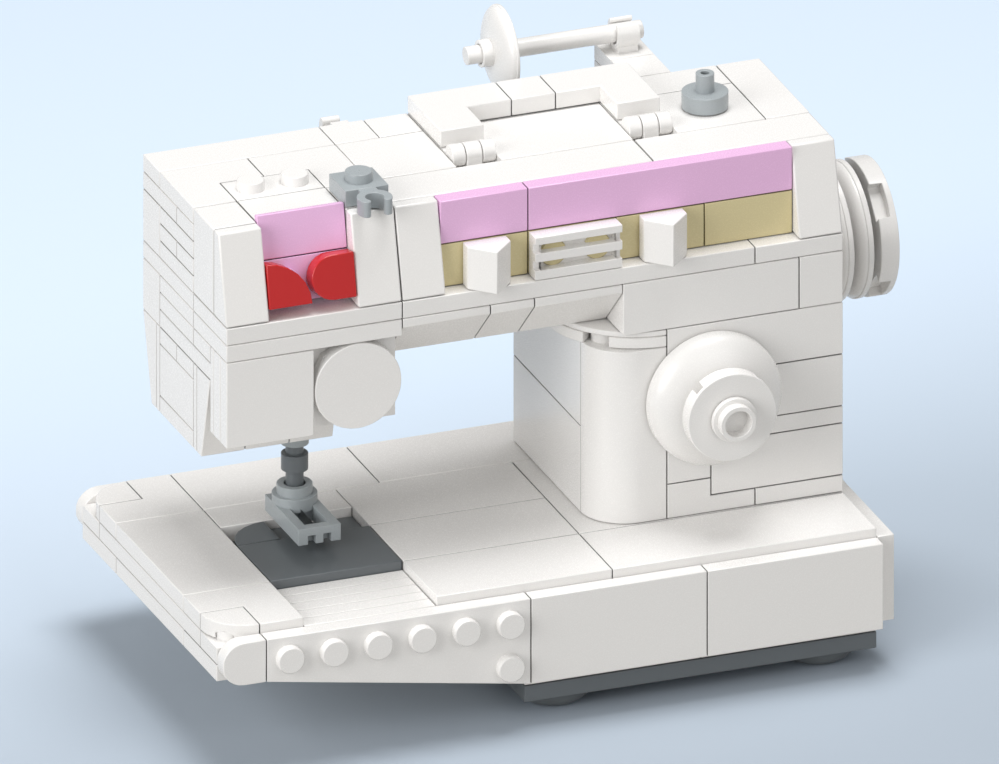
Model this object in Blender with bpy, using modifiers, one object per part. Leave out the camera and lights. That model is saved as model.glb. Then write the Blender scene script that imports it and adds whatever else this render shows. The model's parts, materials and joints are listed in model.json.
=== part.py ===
"""Building brick sewing machine.

The machine stands on a stud grid: column i runs along +X, row j along +Y and
plate layer k along +Z. A footprint is (first column, last column, first row,
last row). The origin is on the floor, under the middle of the machine, and
the front of the machine looks along -Y.
"""

import math
from itertools import combinations

import bmesh
import bpy
from mathutils import Matrix, Vector

# Moulded pieces
PITCH = 0.008
PLATE = 2 * PITCH / 5
BRICK = 3 * PLATE
HALF_PLATE = PLATE / 2
SEAM = 0.0003
EASE = SEAM / 2
WALL = 0.0011
ROOF = 0.001
STUD_R = 0.0024
STUD_H = 0.0017
BAR_R = 0.0016
CLIP_NECK = 0.0005
CLIP_R = 0.00305
CLIP_MOUTH = 0.0024
SOCKET_R = STUD_R + SEAM
SOCKET_H = STUD_H + SEAM

# Pins that tie neighbouring pieces of one part behind their seams
PIN = 0.0016
PIN_COVER = 0.0003
PIN_GRIP = 0.0005

# Feet under the base plate
FOOT_RIM_R = 0.0065
FOOT_CROWN_R = 0.003
FOOT_EDGE = 0.0008

# Wedges and the tilted panel of the head
WEDGE_THIN = 0.0024
WEDGE_THICK = 2 * PLATE
LOWER_WEDGE_THIN = 0.0023
PANEL_THIN = 0.0031
PANEL_RISE = 0.002
PANEL_SKIN = 0.0012

# Selector knobs and grille
KNOB_SHOULDER = 0.0024
KNOB_RIDGE = 0.0064
GRILLE_BAR = 0.0016
GRILLE_STEP = 0.0005

# Stitch dial on the column
SIDE_STUD_H = 0.0058
DIAL_R = 0.012
DIAL_EDGE = 0.0018
DIAL_RISE = 0.005
DIAL_SKIN = 0.0014
DIAL_BOSS_R = 0.0038
DIAL_DISC_R = 0.008
DIAL_DISC_T = 0.003
DIAL_NOTCH = 0.0016
HUB_FLANGE_R = 0.004
HUB_FLANGE_T = 0.001
HUB_R = 0.0032
HUB_LENGTH = 0.0017
HUB_BORE_R = 0.00225

# Handwheel
WHEEL_R = 0.012
WHEEL_DROP = 0.0008
WHEEL_GAP = 0.0041
WHEEL_RIM = 0.001
WHEEL_RISE = 0.003
WHEEL_STEP = 0.0036
WHEEL_BOSS_R = 0.0038
WHEEL_DISC_GAP = 0.0013
WHEEL_DISC_T = 0.0033
WHEEL_REACH = WHEEL_GAP + WHEEL_STEP + WHEEL_RIM + WHEEL_DISC_GAP + WHEEL_DISC_T
AXLE_R = 0.0024
AXLE_BEARING = 0.006
AXLE_SOCKET = 0.002
WHEEL_NOTCH = 0.0062
NOTCH_DEPTH = 0.002
NOTCH_SHARE = 0.0022

# Spool holder
SPOOL_LIFT = 0.003
SPOOL_BAR_LEFT = 0.0008
SPOOL_BAR_RIGHT = 0.0009
SPOOL_R = 0.008
SPOOL_RIM = 0.0006
SPOOL_RISE = 0.0022
SPOOL_RIM_IN = 0.0018
SPOOL_CLIP_R = 0.00275
SPOOL_CLIP_W = 0.004

# Bobbin winder
BOBBIN_R = 0.004
BOBBIN_PIN_H = 0.0032
BOBBIN_BORE_R = 0.00075

# Carrying handle hinges
HINGE_LIFT = 0.0002
HINGE_R = 0.0019
HINGE_PIN_R = 0.0009
HINGE_BORE_R = 0.0012
HINGE_LUG = 0.0022
HINGE_SEAT = 0.0012

# Needle and presser foot
COLLAR_R = 0.00245
COLLAR_T = 0.0037
NEEDLE_R = 0.00155
NEEDLE_TIP = 0.006
NEEDLE_TOP = 0.0015
SLEEVE_R = 0.00233
SLEEVE_T = 0.003
SLEEVE_DROP = 0.0055
RING_R = 0.00308
RING_TOP = 0.0081
RING_FLANGE_R = 0.0039
RING_FLANGE_T = 0.00125
RING_T = 0.0017
RING_WEB = 0.0007
FOOT_TOP = 0.005
FOOT_T = 0.0032
FOOT_WINDOW = 0.0042
FOOT_BACK = 0.0017
FOOT_WINDOW_LENGTH = 0.0073
FOOT_RIB = 0.0008
FOOT_NOTCH = 0.0014

# Facets
ROUND = 20
VISIBLE = 16
SMALL = 12
HIDDEN = 8
ARC = 6
CREASE = math.radians(35)
FLAT = math.radians(1)
WELD = 0.00001

# Where the grid lies over the origin
SPOOL_ROW = 8.5
LEFT = -(15 * PITCH + WHEEL_REACH + EASE) / 2
FRONT = -(SPOOL_ROW * PITCH + SPOOL_R - PLATE - STUD_H + EASE) / 2

WHITE = ((0.88, 0.87, 0.85), 0.3)
PINK = ((0.68, 0.39, 0.60), 0.3)
TAN = ((0.54, 0.46, 0.25), 0.3)
RED = ((0.48, 0.022, 0.022), 0.3)
LIGHT_GREY = ((0.32, 0.36, 0.38), 0.32)
DARK_GREY = ((0.107, 0.118, 0.126), 0.35)

PAIR = "pair"
FACINGS = {
    "UP": ((1, 0, 0), (0, 1, 0), (0, 0, 1)),
    "FRONT": ((1, 0, 0), (0, 0, 1), (0, -1, 0)),
    "BACK": ((-1, 0, 0), (0, 0, 1), (0, 1, 0)),
    "LEFT": ((0, -1, 0), (0, 0, 1), (-1, 0, 0)),
    "RIGHT": ((0, 1, 0), (0, 0, 1), (1, 0, 0)),
}


def X(column, plates=0):
    return LEFT + column * PITCH + plates * PLATE


def Y(row, plates=0):
    return FRONT + row * PITCH + plates * PLATE


def Z(layer):
    return layer * PLATE


def facing(side, x, y, z):
    """A frame at a point whose own z axis looks out of one side of the machine."""
    axes = Matrix(FACINGS[side]).transposed().to_4x4()
    return Matrix.Translation((x, y, z)) @ axes


def clear_scene():
    for item in list(bpy.data.objects):
        bpy.data.objects.remove(item, do_unlink=True)


def collection(name):
    made = bpy.data.collections.new(name)
    bpy.context.scene.collection.children.link(made)
    return made


def evaluated_shape(data, modifiers=None):
    """The evaluated mesh of a throwaway curve or mesh, welded and facing out."""
    holder = bpy.data.objects.new("blank", data)
    bpy.context.scene.collection.objects.link(holder)
    if modifiers:
        modifiers(holder)
    graph = bpy.context.evaluated_depsgraph_get()
    mesh = bpy.data.meshes.new_from_object(holder.evaluated_get(graph))
    shape = bmesh.new()
    shape.from_mesh(mesh)
    bpy.data.objects.remove(holder)
    bpy.data.meshes.remove(mesh)
    bmesh.ops.remove_doubles(shape, verts=shape.verts, dist=WELD)
    bmesh.ops.recalc_face_normals(shape, faces=shape.faces)
    return shape


def outlined(points, low, high):
    """A flat outline made solid between two heights."""
    curve = bpy.data.curves.new("outline", "CURVE")
    curve.dimensions = "2D"
    curve.fill_mode = "BOTH"
    curve.extrude = (high - low) / 2
    spline = curve.splines.new("POLY")
    spline.points.add(len(points) - 1)
    for point, (x, y) in zip(spline.points, points):
        point.co = (x, y, 0, 1)
    spline.use_cyclic_u = True
    shape = evaluated_shape(curve)
    bmesh.ops.dissolve_limit(shape, angle_limit=FLAT, verts=shape.verts, edges=shape.edges)
    bmesh.ops.translate(shape, verts=shape.verts, vec=(0, 0, (low + high) / 2))
    return shape


def turned(profile, steps=ROUND, ring=False):
    """A profile of (radius, height) points turned about the z axis, from the top down."""
    mesh = bpy.data.meshes.new("profile")
    edges = [(n, n + 1) for n in range(len(profile) - 1)]
    if ring:
        edges.append((len(profile) - 1, 0))
    mesh.from_pydata([(radius, 0, height) for radius, height in profile], edges, [])

    def screw(holder):
        modifier = holder.modifiers.new("turn", "SCREW")
        modifier.steps = steps
        modifier.render_steps = steps
        modifier.use_merge_vertices = True
        modifier.merge_threshold = WELD

    return evaluated_shape(mesh, screw)


def box(low, high):
    """A block between two opposite corners."""
    low, high = Vector(low), Vector(high)
    shape = bmesh.new()
    scale = Matrix.Diagonal((*(high - low), 1))
    bmesh.ops.create_cube(shape, size=1, matrix=Matrix.Translation((low + high) / 2) @ scale)
    return shape


def rod(radius, low, high, x=0, y=0, sides=SMALL):
    """A round bar along z."""
    shape = bmesh.new()
    place = Matrix.Translation((x, y, (low + high) / 2))
    bmesh.ops.create_cone(shape, cap_ends=True, segments=sides, radius1=radius, radius2=radius,
                          depth=high - low, matrix=place)
    return shape


def pocketed(shape, depth, wall=WALL):
    """Hollow a solid from its underside and leave its walls and roof."""
    shape.normal_update()
    under = min(shape.faces, key=lambda face: face.normal.z)
    bmesh.ops.inset_individual(shape, faces=[under], thickness=wall, use_even_offset=True)
    bmesh.ops.inset_individual(shape, faces=[under], thickness=0, depth=-depth)
    return shape


def eased(points, gap=EASE):
    """An anticlockwise outline drawn in by the same gap on every side."""
    result = []
    for before, here, after in zip(points[-1:] + points[:-1], points, points[1:] + points[:1]):
        here = Vector(here)
        arriving = (here - Vector(before)).normalized()
        leaving = (Vector(after) - here).normalized()
        inward = Vector((-arriving.y - leaving.y, arriving.x + leaving.x)).normalized()
        spread = inward.y * arriving.x - inward.x * arriving.y
        result.append(tuple(here + inward * gap / spread))
    return result


def arc(x, y, radius, start, end, steps=ARC):
    """Points along an arc, with its angles in degrees."""
    angles = [math.radians(start + (end - start) * n / steps) for n in range(steps + 1)]
    return [(x + radius * math.cos(a), y + radius * math.sin(a)) for a in angles]


def dome(radius, low, rise, steps):
    """Points of an elliptic dome from its crown down to its edge, without the crown."""
    angles = [math.pi / 2 * n / steps for n in range(1, steps + 1)]
    return [(radius * math.sin(a), low + rise * math.cos(a)) for a in angles]


class Part:
    """A named piece, or a set of like pieces: its body, what joins it and what is cut out."""

    made = []

    def __init__(self, name, finish, pivot=None):
        self.name = name
        self.finish = finish
        self.pivot = pivot
        self.layers = {layer: bmesh.new() for layer in ("body", "join", "cut")}
        self.pieces = []
        Part.made.append(self)

    def add(self, shape, frame=Matrix(), layer="body"):
        shape.transform(frame)
        mesh = bpy.data.meshes.new("shape")
        shape.to_mesh(mesh)
        shape.free()
        self.layers[layer].from_mesh(mesh)
        bpy.data.meshes.remove(mesh)

    def join(self, shape, frame=Matrix()):
        self.add(shape, frame, "join")

    def cut(self, shape, frame=Matrix()):
        self.add(shape, frame, "cut")

    def note(self, frame, low, high, hollow=0):
        """Remember a piece's place and how far its underside is hollow."""
        ends = frame @ Vector(low), frame @ Vector(high)
        low, high = (Vector(map(pick, *ends)) for pick in (min, max))
        self.pieces.append((low, high, frame.to_3x3() @ Vector((0, 0, -1)), hollow))

    def tie(self):
        """Join neighbouring pieces by hidden pins until the part is one body."""
        groups = list(range(len(self.pieces)))
        for one, other in combinations(range(len(self.pieces)), 2):
            if groups[one] == groups[other]:
                continue
            pin = pin_between(self.pieces[one], self.pieces[other])
            if pin:
                self.join(box(*pin))
                merged = groups[other]
                groups = [groups[one] if group == merged else group for group in groups]

    def moulded(self, frame, columns, rows, height, studs=(), hollow=True, sides=HIDDEN):
        """A brick, plate or tile with its hollow underside and chosen studs."""
        length, width = columns * PITCH, rows * PITCH
        shape = box((EASE, EASE, EASE), (length - EASE, width - EASE, height - EASE))
        depth = height - SEAM - ROOF if hollow else 0
        if hollow:
            pocketed(shape, depth)
        self.add(shape, frame)
        self.note(frame, (0, 0, 0), (length, width, height), depth)
        if studs == PAIR:
            studs = {(0, 0), (columns - 1, rows - 1)}
        for column, row in sorted(studs):
            self.stud(frame, (column + 0.5) * PITCH, (row + 0.5) * PITCH, height, sides)

    def stud(self, frame, x, y, height=0, sides=HIDDEN):
        """A bare stud on a face at a height along the frame's z axis."""
        face = height - EASE
        self.join(rod(STUD_R, face - ROOF / 2, face + STUD_H, x, y, sides), frame)

    def socket(self, frame, x, y, sides=SMALL):
        """The round pocket that takes a stud from below."""
        self.cut(rod(SOCKET_R, -PLATE, SOCKET_H, x, y, sides), frame)

    def lay(self, layers, *footprints, studs=PAIR, hollow=True, sides=HIDDEN):
        """Upright pieces between two layers, with studs as a pair or on given grid cells."""
        low, high = layers
        for left, right, near, far in footprints:
            frame = facing("UP", X(left), Y(near), Z(low))
            cells = studs
            if studs != PAIR:
                cells = [(i - left, j - near) for i, j in studs
                         if left <= i < right and near <= j < far]
            self.moulded(frame, right - left, far - near, Z(high) - Z(low), cells, hollow, sides)

    def slab(self, layers, cells, *blocks, hollow=True):
        """An upright piece with an outline in grid cells, which fills the given footprints."""
        points = eased([(X(i), Y(j)) for i, j in cells])
        low, high = Z(layers[0]) + EASE, Z(layers[1]) - EASE
        shape = outlined(points, low, high)
        depth = high - low - ROOF if hollow else 0
        if hollow:
            pocketed(shape, depth)
        self.add(shape)
        for left, right, near, far in blocks:
            self.note(Matrix(), (X(left), Y(near), Z(layers[0])), (X(right), Y(far), Z(layers[1])),
                      depth)

    def crosswise(self, first, last, points, *blocks):
        """A piece with a side outline of (y, z) points, between two columns."""
        shape = outlined(eased(points), EASE, (last - first) * PITCH - EASE)
        self.add(shape, facing("RIGHT", X(first), 0, 0))
        for corners in blocks or (points,):
            across, up = zip(*corners)
            self.note(Matrix(), (X(first), min(across), min(up)), (X(last), max(across), max(up)))

    def mesh_object(self, layer, origin, home):
        mesh = bpy.data.meshes.new(f"{self.name}_{layer}")
        shape = self.layers[layer]
        bmesh.ops.translate(shape, verts=shape.verts, vec=-origin)
        shape.to_mesh(mesh)
        shape.free()
        mesh.shade_smooth()
        mesh.set_sharp_from_angle(angle=CREASE)
        name = self.name if layer == "body" else mesh.name
        item = bpy.data.objects.new(name, mesh)
        home.objects.link(item)
        return item

    def finish_object(self, home, tools, machine):
        self.tie()
        corners = [vertex.co for vertex in self.layers["body"].verts]
        low = Vector(min(corner[axis] for corner in corners) for axis in range(3))
        high = Vector(max(corner[axis] for corner in corners) for axis in range(3))
        origin = Vector(((low.x + high.x) / 2, (low.y + high.y) / 2, low.z))
        parent = machine
        if self.pivot:
            parent = self.pivot
            origin = self.pivot.location.copy()
        body = self.mesh_object("body", origin, home)
        body.parent = parent
        body.location = origin - parent.location
        body.data.materials.append(self.paint())
        for layer, operation in (("join", "UNION"), ("cut", "DIFFERENCE")):
            if not self.layers[layer].verts:
                continue
            tool = self.mesh_object(layer, origin, tools)
            tool.parent = body
            tool.hide_render = True
            tool.display_type = "WIRE"
            modifier = body.modifiers.new(layer, "BOOLEAN")
            modifier.operation = operation
            modifier.solver = "EXACT"
            modifier.use_self = True
            modifier.object = tool
        return body

    def paint(self):
        colour, roughness = self.finish
        material = bpy.data.materials.new(f"{self.name}_plastic")
        material.use_nodes = True
        shader = material.node_tree.nodes["Principled BSDF"]
        shader.inputs["Base Color"].default_value = (*colour, 1)
        shader.inputs["Roughness"].default_value = roughness
        shader.inputs["Metallic"].default_value = 0
        material.diffuse_color = (*colour, 1)
        return material


def pin_between(one, other):
    """The corners of a pin across the seam of two pieces that share a face."""
    for axis in range(3):
        for lower, upper in ((one, other), (other, one)):
            plane = lower[1][axis]
            if abs(plane - upper[0][axis]) > WELD:
                continue
            low, high = Vector(), Vector()
            low[axis] = plane - EASE - PIN_GRIP - (lower[3] if lower[2][axis] > 0.5 else 0)
            high[axis] = plane + EASE + PIN_GRIP + (upper[3] if upper[2][axis] < -0.5 else 0)
            sizes = []
            for side in {0, 1, 2} - {axis}:
                start = max(lower[0][side], upper[0][side]) + EASE
                end = min(lower[1][side], upper[1][side]) - EASE
                sizes.append(min(PIN, end - start - 2 * PIN_COVER))
                low[side] = (start + end - sizes[-1]) / 2
                high[side] = (start + end + sizes[-1]) / 2
            if min(sizes) > PIN_COVER:
                return low, high
    return None


def pivot(name, x, y, z):
    """An empty on a joint's axis that carries the pieces of one moving body."""
    holder = bpy.data.objects.new(name, None)
    holder.empty_display_size = PITCH
    holder.location = (x, y, z)
    return holder


def dish_profile(radius, edge, rise, skin, boss_r, boss_low, bore_r, bore_top, steps=4):
    """A domed dish with a boss inside; a bore up to bore_top, or right through if None."""
    crown = edge + rise
    inner_radius = radius - skin
    inner = dome(inner_radius, edge, rise - skin, steps)
    inner_crown = [point for point in reversed(inner) if point[0] > boss_r]
    share = boss_r / inner_radius
    boss_top = edge + (rise - skin) * math.sqrt(1 - share * share)
    start = [(0, crown)] if bore_top is not None else [(bore_r, crown)]
    outer = [point for point in dome(radius, edge, rise, steps) if point[0] > bore_r]
    profile = start + outer + [(radius, 0), (inner_radius, 0)] + inner_crown
    profile += [(boss_r, boss_top), (boss_r, boss_low), (bore_r, boss_low)]
    if bore_top is not None:
        profile += [(bore_r, bore_top), (0, bore_top)]
    return profile


def notched_disc(part, frame, radius, thickness, notch_width, hole_r, hole_depth):
    """A thick disc with four notches in the rim of its rear side and a hole behind."""
    part.add(rod(radius, 0, thickness, sides=ROUND), frame)
    for quarter in range(4):
        turn = frame @ Matrix.Rotation(math.radians(45 + 90 * quarter), 4, "Z")
        notch = box((radius - NOTCH_DEPTH, -notch_width / 2, -thickness),
                    (radius + NOTCH_DEPTH, notch_width / 2, NOTCH_SHARE))
        part.cut(notch, turn)
    part.cut(rod(hole_r, -thickness, hole_depth), frame)


def build_base():
    base_plate = Part("base_plate", DARK_GREY)
    base_plate.lay((1, 2), (7, 15, 0, 8), studs={(7, 0), (14, 0), (7, 7), (14, 7)})

    edge = Z(1) - EASE - FOOT_EDGE
    swell = FOOT_RIM_R - FOOT_CROWN_R
    for column in (8, 14):
        for row in (1, 7):
            crown = [(FOOT_CROWN_R + swell * math.cos(a), edge * (1 - math.sin(a)))
                     for a in (math.radians(30), math.radians(60), math.radians(90))]
            profile = [(0, Z(1) - EASE), (FOOT_RIM_R, Z(1) - EASE), (FOOT_RIM_R, edge), *crown,
                       (0, 0)]
            frame = facing("UP", X(column), Y(row), 0)
            base_plate.add(turned(profile, SMALL), frame)
            base_plate.note(frame, (-PITCH, -PITCH, 0), (PITCH, PITCH, Z(1)))

    bricks = Part("base_bricks", WHITE)
    bricks.lay((2, 5), (7, 11, 0, 1), (11, 15, 0, 1), (7, 11, 7, 8), (11, 15, 7, 8),
               (7, 8, 1, 7), (14, 15, 1, 7))
    half = PITCH / 2
    for column in (7, 10, 11, 14):
        bricks.stud(facing("FRONT", X(column), Y(0), Z(2.5)), half, half)
        bricks.stud(facing("BACK", X(column + 1), Y(8), Z(2.5)), half, half)
    for row in (1, 3, 4, 6):
        bricks.stud(facing("RIGHT", X(15), Y(row), Z(2.5)), half, half)

    skirts = {side: Part(f"skirt_tiles_{side.lower()}", WHITE) for side in ("FRONT", "BACK", "RIGHT")}
    for column in (7, 11):
        skirts["FRONT"].moulded(facing("FRONT", X(column), Y(0), Z(2.5)), 4, 2, PLATE)
        skirts["BACK"].moulded(facing("BACK", X(column + 4), Y(8), Z(2.5)), 4, 2, PLATE)
    for row in (0, 4):
        skirts["RIGHT"].moulded(facing("RIGHT", X(15), Y(row), Z(2.5)), 4, 2, PLATE)


def build_bed():
    plates = Part("bed_plates", WHITE)
    plates.lay((5, 6), (0, 2, 0, 2), (0, 8, 2, 6), (0, 8, 6, 8), (5, 9, 0, 2), (9, 15, 0, 2),
               (8, 14, 2, 8), (14, 15, 2, 8), studs=())
    plates.lay((6, 7), (2, 8, 2, 8), (5, 7, 0, 2), (7, 15, 0, 2), (8, 9, 2, 8), (9, 15, 2, 8),
               (0, 2, 1, 7), studs={(2, 2), (7, 7), (5, 1), (8, 1), (14, 1), (9, 6), (14, 7), (0, 2),
                                    (1, 5)}, hollow=False)
    plates.lay((6, 7), (0, 2, 0, 1), (0, 2, 7, 8), studs={(0, 0), (0, 7)}, hollow=False, sides=SMALL)
    plates.lay((7, 8), (9, 15, 2, 6), (11, 15, 6, 7), (10, 11, 6, 7),
               studs={(11, 2), (14, 5), (11, 6), (14, 6)}, hollow=False)

    tiles = Part("bed_tiles", WHITE)
    tiles.lay((7, 8), (0, 2, 2, 6), (2, 6, 6, 8), (6, 10, 6, 8), (10, 15, 7, 8), (2, 5, 5, 6),
              (5, 9, 4, 6), (5, 9, 2, 4), (5, 9, 0, 2), (9, 15, 0, 2), studs=())
    tiles.slab((7, 8), [(1, 0), (2, 0), (2, 2), (0, 2), (0, 1), (1, 1)], (1, 2, 0, 2), (0, 1, 1, 2))
    tiles.slab((7, 8), [(0, 6), (2, 6), (2, 8), (1, 8), (1, 7), (0, 7)], (1, 2, 6, 8), (0, 1, 6, 7))
    tiles.slab((7, 8), [(1, 1), *arc(1, 1, 1, 180, 270)], (0, 1, 0, 1), hollow=False)
    tiles.slab((7, 8), [(1, 7), *arc(1, 7, 1, 90, 180)], (0, 1, 7, 8), hollow=False)
    for row in (0.5, 7.5):
        tiles.socket(facing("UP", X(0.5), Y(row), Z(7) - EASE), 0, 0)

    needle_plate = Part("needle_plates", DARK_GREY)
    needle_plate.lay((7, 8), (2, 5, 2, 4), studs=())
    needle_plate.slab((7, 8), [(3, 4), *arc(3, 4, 1, 90, 180)], (2, 3, 4, 5), hollow=False)
    needle_plate.lay((7, 7.5), (3, 5, 4, 5), studs=(), hollow=False)

    door = Part("bobbin_door_plates", WHITE)
    for layer in range(5):
        frame = facing("FRONT", X(2), Y(0, layer + 1), Z(5))
        door.moulded(frame, 3, 1, PLATE)

    length, top = 6 * PITCH, 2 * PITCH
    fronts = [(0, PITCH), (length, 0), (length, top), (0, top)]
    backs = [(0, 0), (length, PITCH), (length, top), (0, top)]
    half = PITCH / 2
    front_end = [(PITCH, 0), (PITCH, PITCH), *arc(half, half, half, 90, 270, 2 * ARC)]
    back_end = [(0, PITCH), (0, 0), *arc(half, half, half, -90, 90, 2 * ARC)]
    for side, column, row, points, deep_end, end_column, end_points in (
            ("FRONT", 1, 0, fronts, 5.5, 0, front_end), ("BACK", 7, 8, backs, 0.5, 1, back_end)):
        wedges = Part(f"wedge_plate_{side.lower()}", WHITE)
        frame = facing(side, X(column), Y(row), Z(2.5))
        shape = outlined(eased(points), EASE, PLATE - EASE)
        wedges.add(pocketed(shape, PLATE - SEAM - ROOF), frame)
        wedges.note(frame, (0, PITCH, 0), (length, top, PLATE))
        for n in range(6):
            wedges.stud(frame, (n + 0.5) * PITCH, 1.5 * PITCH, PLATE, VISIBLE)
        wedges.stud(frame, deep_end * PITCH, half, PLATE, VISIBLE)
        end = facing(side, X(end_column), Y(row), Z(5))
        wedges.add(outlined(eased(end_points), EASE, PLATE - EASE), end)
        wedges.note(end, (0, 0, 0), (PITCH, PITCH, PLATE))


def build_column():
    bricks = Part("column_bricks", WHITE)
    ring = (11, 15, 6, 7), (14, 15, 3, 6), (11, 12, 3, 6)
    bricks.lay((8, 9), (13, 15, 2, 3), *ring, studs=())
    step = [(0, 0), (2 * PITCH, 0), (2 * PITCH, PLATE), (PITCH, PLATE), (PITCH, 2 * PLATE),
            (0, 2 * PLATE)]
    corner_step = facing("FRONT", X(11), Y(3), Z(8))
    bricks.add(outlined(eased(step), EASE, PITCH - EASE), corner_step)
    for length, low, high in ((2 * PITCH, 0, PLATE), (PITCH, PLATE, 2 * PLATE)):
        bricks.note(corner_step, (0, low, 0), (length, high, PITCH))
    bricks.socket(facing("UP", X(11.5), Y(2.5), Z(8) + EASE), 0, 0)
    courses = (((9, 12), (12, 15, 2, 3), *ring), ((10, 13), (11, 12, 2, 3)),
               ((12, 13), (12, 15, 2, 3), *ring), ((13, 16), (11, 15, 2, 3), *ring))
    for layers, *footprints in courses:
        bricks.lay(layers, *footprints, studs=(), hollow=False)
    bricks.lay((16, 19), (11, 15, 2, 3), *ring, studs={(12, 2), (14, 2), (12, 6), (14, 6), (14, 3)},
               hollow=False)
    bricks.stud(facing("FRONT", X(12), Y(2), Z(13) + SIDE_STUD_H), 0, 0, 0, SMALL)

    side = Part("column_side_panels", WHITE)
    for layer in (8, 13):
        side.moulded(facing("LEFT", X(11), Y(7), Z(layer)), 4, 2, BRICK)
        side.moulded(facing("LEFT", X(11, -3), Y(7), Z(layer)), 4, 2, PLATE)
    side.lay((18, 19), (10, 11, 4, 7), studs=())

    corner = Part("column_corner", WHITE)
    inner_x = X(11, -4) + PITCH
    points = [(X(11), Y(2)), (X(11), Y(3)), (X(11, -4), Y(3))]
    points += arc(inner_x, Y(3), PITCH, 180, 270)[1:]
    corner.add(outlined(eased(points), Z(8) + EASE, Z(18) - EASE))

    corner_tile = Part("column_corner_tile", WHITE)
    ring = arc(11, 4, 2, 180, 270, 2 * ARC) + arc(11, 4, 1, 270, 180)
    corner_tile.slab((18, 19), ring, (9, 11, 2, 4), hollow=False)
    middle = facing("UP", X(11), Y(4), Z(18) + EASE) @ Matrix.Rotation(math.radians(225), 4, "Z")
    corner_tile.socket(middle, 1.5 * PITCH, 0)
    corner_tile.cut(box((1.5 * PITCH, -STUD_R, -PLATE), (3 * PITCH, STUD_R, SOCKET_H)), middle)


def build_dial(dial):
    front = facing("FRONT", X(12), Y(2), Z(13) + SIDE_STUD_H)
    dish = Part("dial_dish", WHITE, dial)
    lift = Matrix.Translation((0, 0, SEAM))
    profile = dish_profile(DIAL_R, DIAL_EDGE - SEAM, DIAL_RISE, DIAL_SKIN, DIAL_BOSS_R, 0,
                           SOCKET_R, SOCKET_H)
    dish.add(turned(profile), front @ lift)

    disc_low = DIAL_EDGE + DIAL_RISE + SEAM
    disc = Part("dial_disc", WHITE, dial)
    notched_disc(disc, front @ Matrix.Translation((0, 0, disc_low)), DIAL_DISC_R, DIAL_DISC_T,
                 DIAL_NOTCH, SOCKET_R, ROOF)

    hub = Part("dial_hub", WHITE, dial)
    flange = disc_low + DIAL_DISC_T + SEAM
    top = flange + HUB_FLANGE_T + HUB_LENGTH
    profile = [(HUB_BORE_R, top), (HUB_R, top), (HUB_R, flange + HUB_FLANGE_T),
               (HUB_FLANGE_R, flange + HUB_FLANGE_T), (HUB_FLANGE_R, flange), (0, flange),
               (0, flange + HUB_FLANGE_T), (HUB_BORE_R, flange + HUB_FLANGE_T)]
    profile = profile[6:] + profile[:6]
    hub.add(turned(profile, VISIBLE), front)


def build_arm():
    lip = Z(22) - HALF_PLATE
    front = [(Y(2), lip), (Y(3), Z(19)), (Y(4), Z(19)), (Y(4), Z(22)), (Y(2), Z(22))]
    back = [(Y(5), Z(19)), (Y(6), Z(19)), (Y(7), lip), (Y(7), Z(22)), (Y(5), Z(22))]
    up = facing("UP", 0, 0, 0)
    for name, outline, spans, row in (("arm_slopes_front", front, ((5, 7), (7, 8), (8, 10)), 3.5),
                                      ("arm_slopes_back", back, ((5, 7), (7, 10)), 5.5)):
        slopes = Part(name, WHITE)
        for first, last in spans:
            slopes.crosswise(first, last, outline)
        for column in (5.5, 9.5):
            slopes.stud(up, X(column), Y(row), Z(22))

    keel = Part("arm_keel_bricks", WHITE)
    keel.lay((19, 22), (5, 9, 4, 5), (9, 10, 4, 5), studs={(5, 4), (9, 4)})

    bricks = Part("arm_row_bricks", WHITE)
    bricks.lay((19, 22), (10, 14, 2, 3), (14, 15, 2, 3), (14, 15, 3, 4), (14, 15, 5, 7),
               (10, 14, 6, 7), (10, 11, 3, 6), studs={(10, 2), (13, 2), (14, 3), (14, 6), (11, 6)})
    bricks.lay((19, 22), (14, 15, 4, 5), studs=(), hollow=False)
    bricks.cut(rod(AXLE_R + SEAM, -2 * PITCH, PITCH, sides=VISIBLE), wheel_frame())

    ledge = Part("ledge_plates", WHITE)
    ledge.lay((22, 23), (1, 5, 2, 4), (5, 13, 2, 4), (13, 15, 2, 4), studs=())

    plates = Part("arm_box_bricks", WHITE)
    plates.lay((22, 23), (1, 5, 4, 7), (5, 9, 4, 7), (9, 15, 4, 7), studs=())
    plates.lay((23, 26), (1, 5, 6, 7), (5, 11, 6, 7), (11, 15, 6, 7), (14, 15, 4, 6),
               (8, 10, 4, 6), (12, 14, 4, 6), studs=(), hollow=False)
    plates.lay((23, 24), (1, 2, 4, 6), studs=(), hollow=False)
    plates.lay((24, 25), (1, 2, 4, 5), (1, 2, 5, 6), studs=(), hollow=False)
    plates.lay((25, 26), (1, 2, 4, 6), studs=(), hollow=False)
    plates.lay((26, 27), (1, 5, 4, 5), (1, 5, 5, 7), (5, 11, 4, 7), (11, 12, 4, 7), (12, 13, 4, 6),
               (13, 15, 4, 7), studs={(2, 4), (1, 6), (4, 6), (5, 4), (9, 4), (12, 4), (14, 4)},
               hollow=False)

    sideways = Part("arm_front_bricks", WHITE)
    for first, last, studs in ((1, 2, ()), (4, 5, ()), (5, 11, {(1, 0), (2, 1), (5, 0)}),
                               (11, 15, {(1, 1), (2, 0)})):
        frame = facing("FRONT", X(first), Y(4), Z(23))
        sideways.moulded(frame, last - first, 2, BRICK, studs)
    guide = facing("UP", X(4.5), face_y() + PITCH / 2, Z(28))
    sideways.stud(guide, 0, 0, 0, SMALL)
    return sideways


def face_y():
    """The front plane of the sideways bricks of the arm."""
    return Y(4) - BRICK


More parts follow.
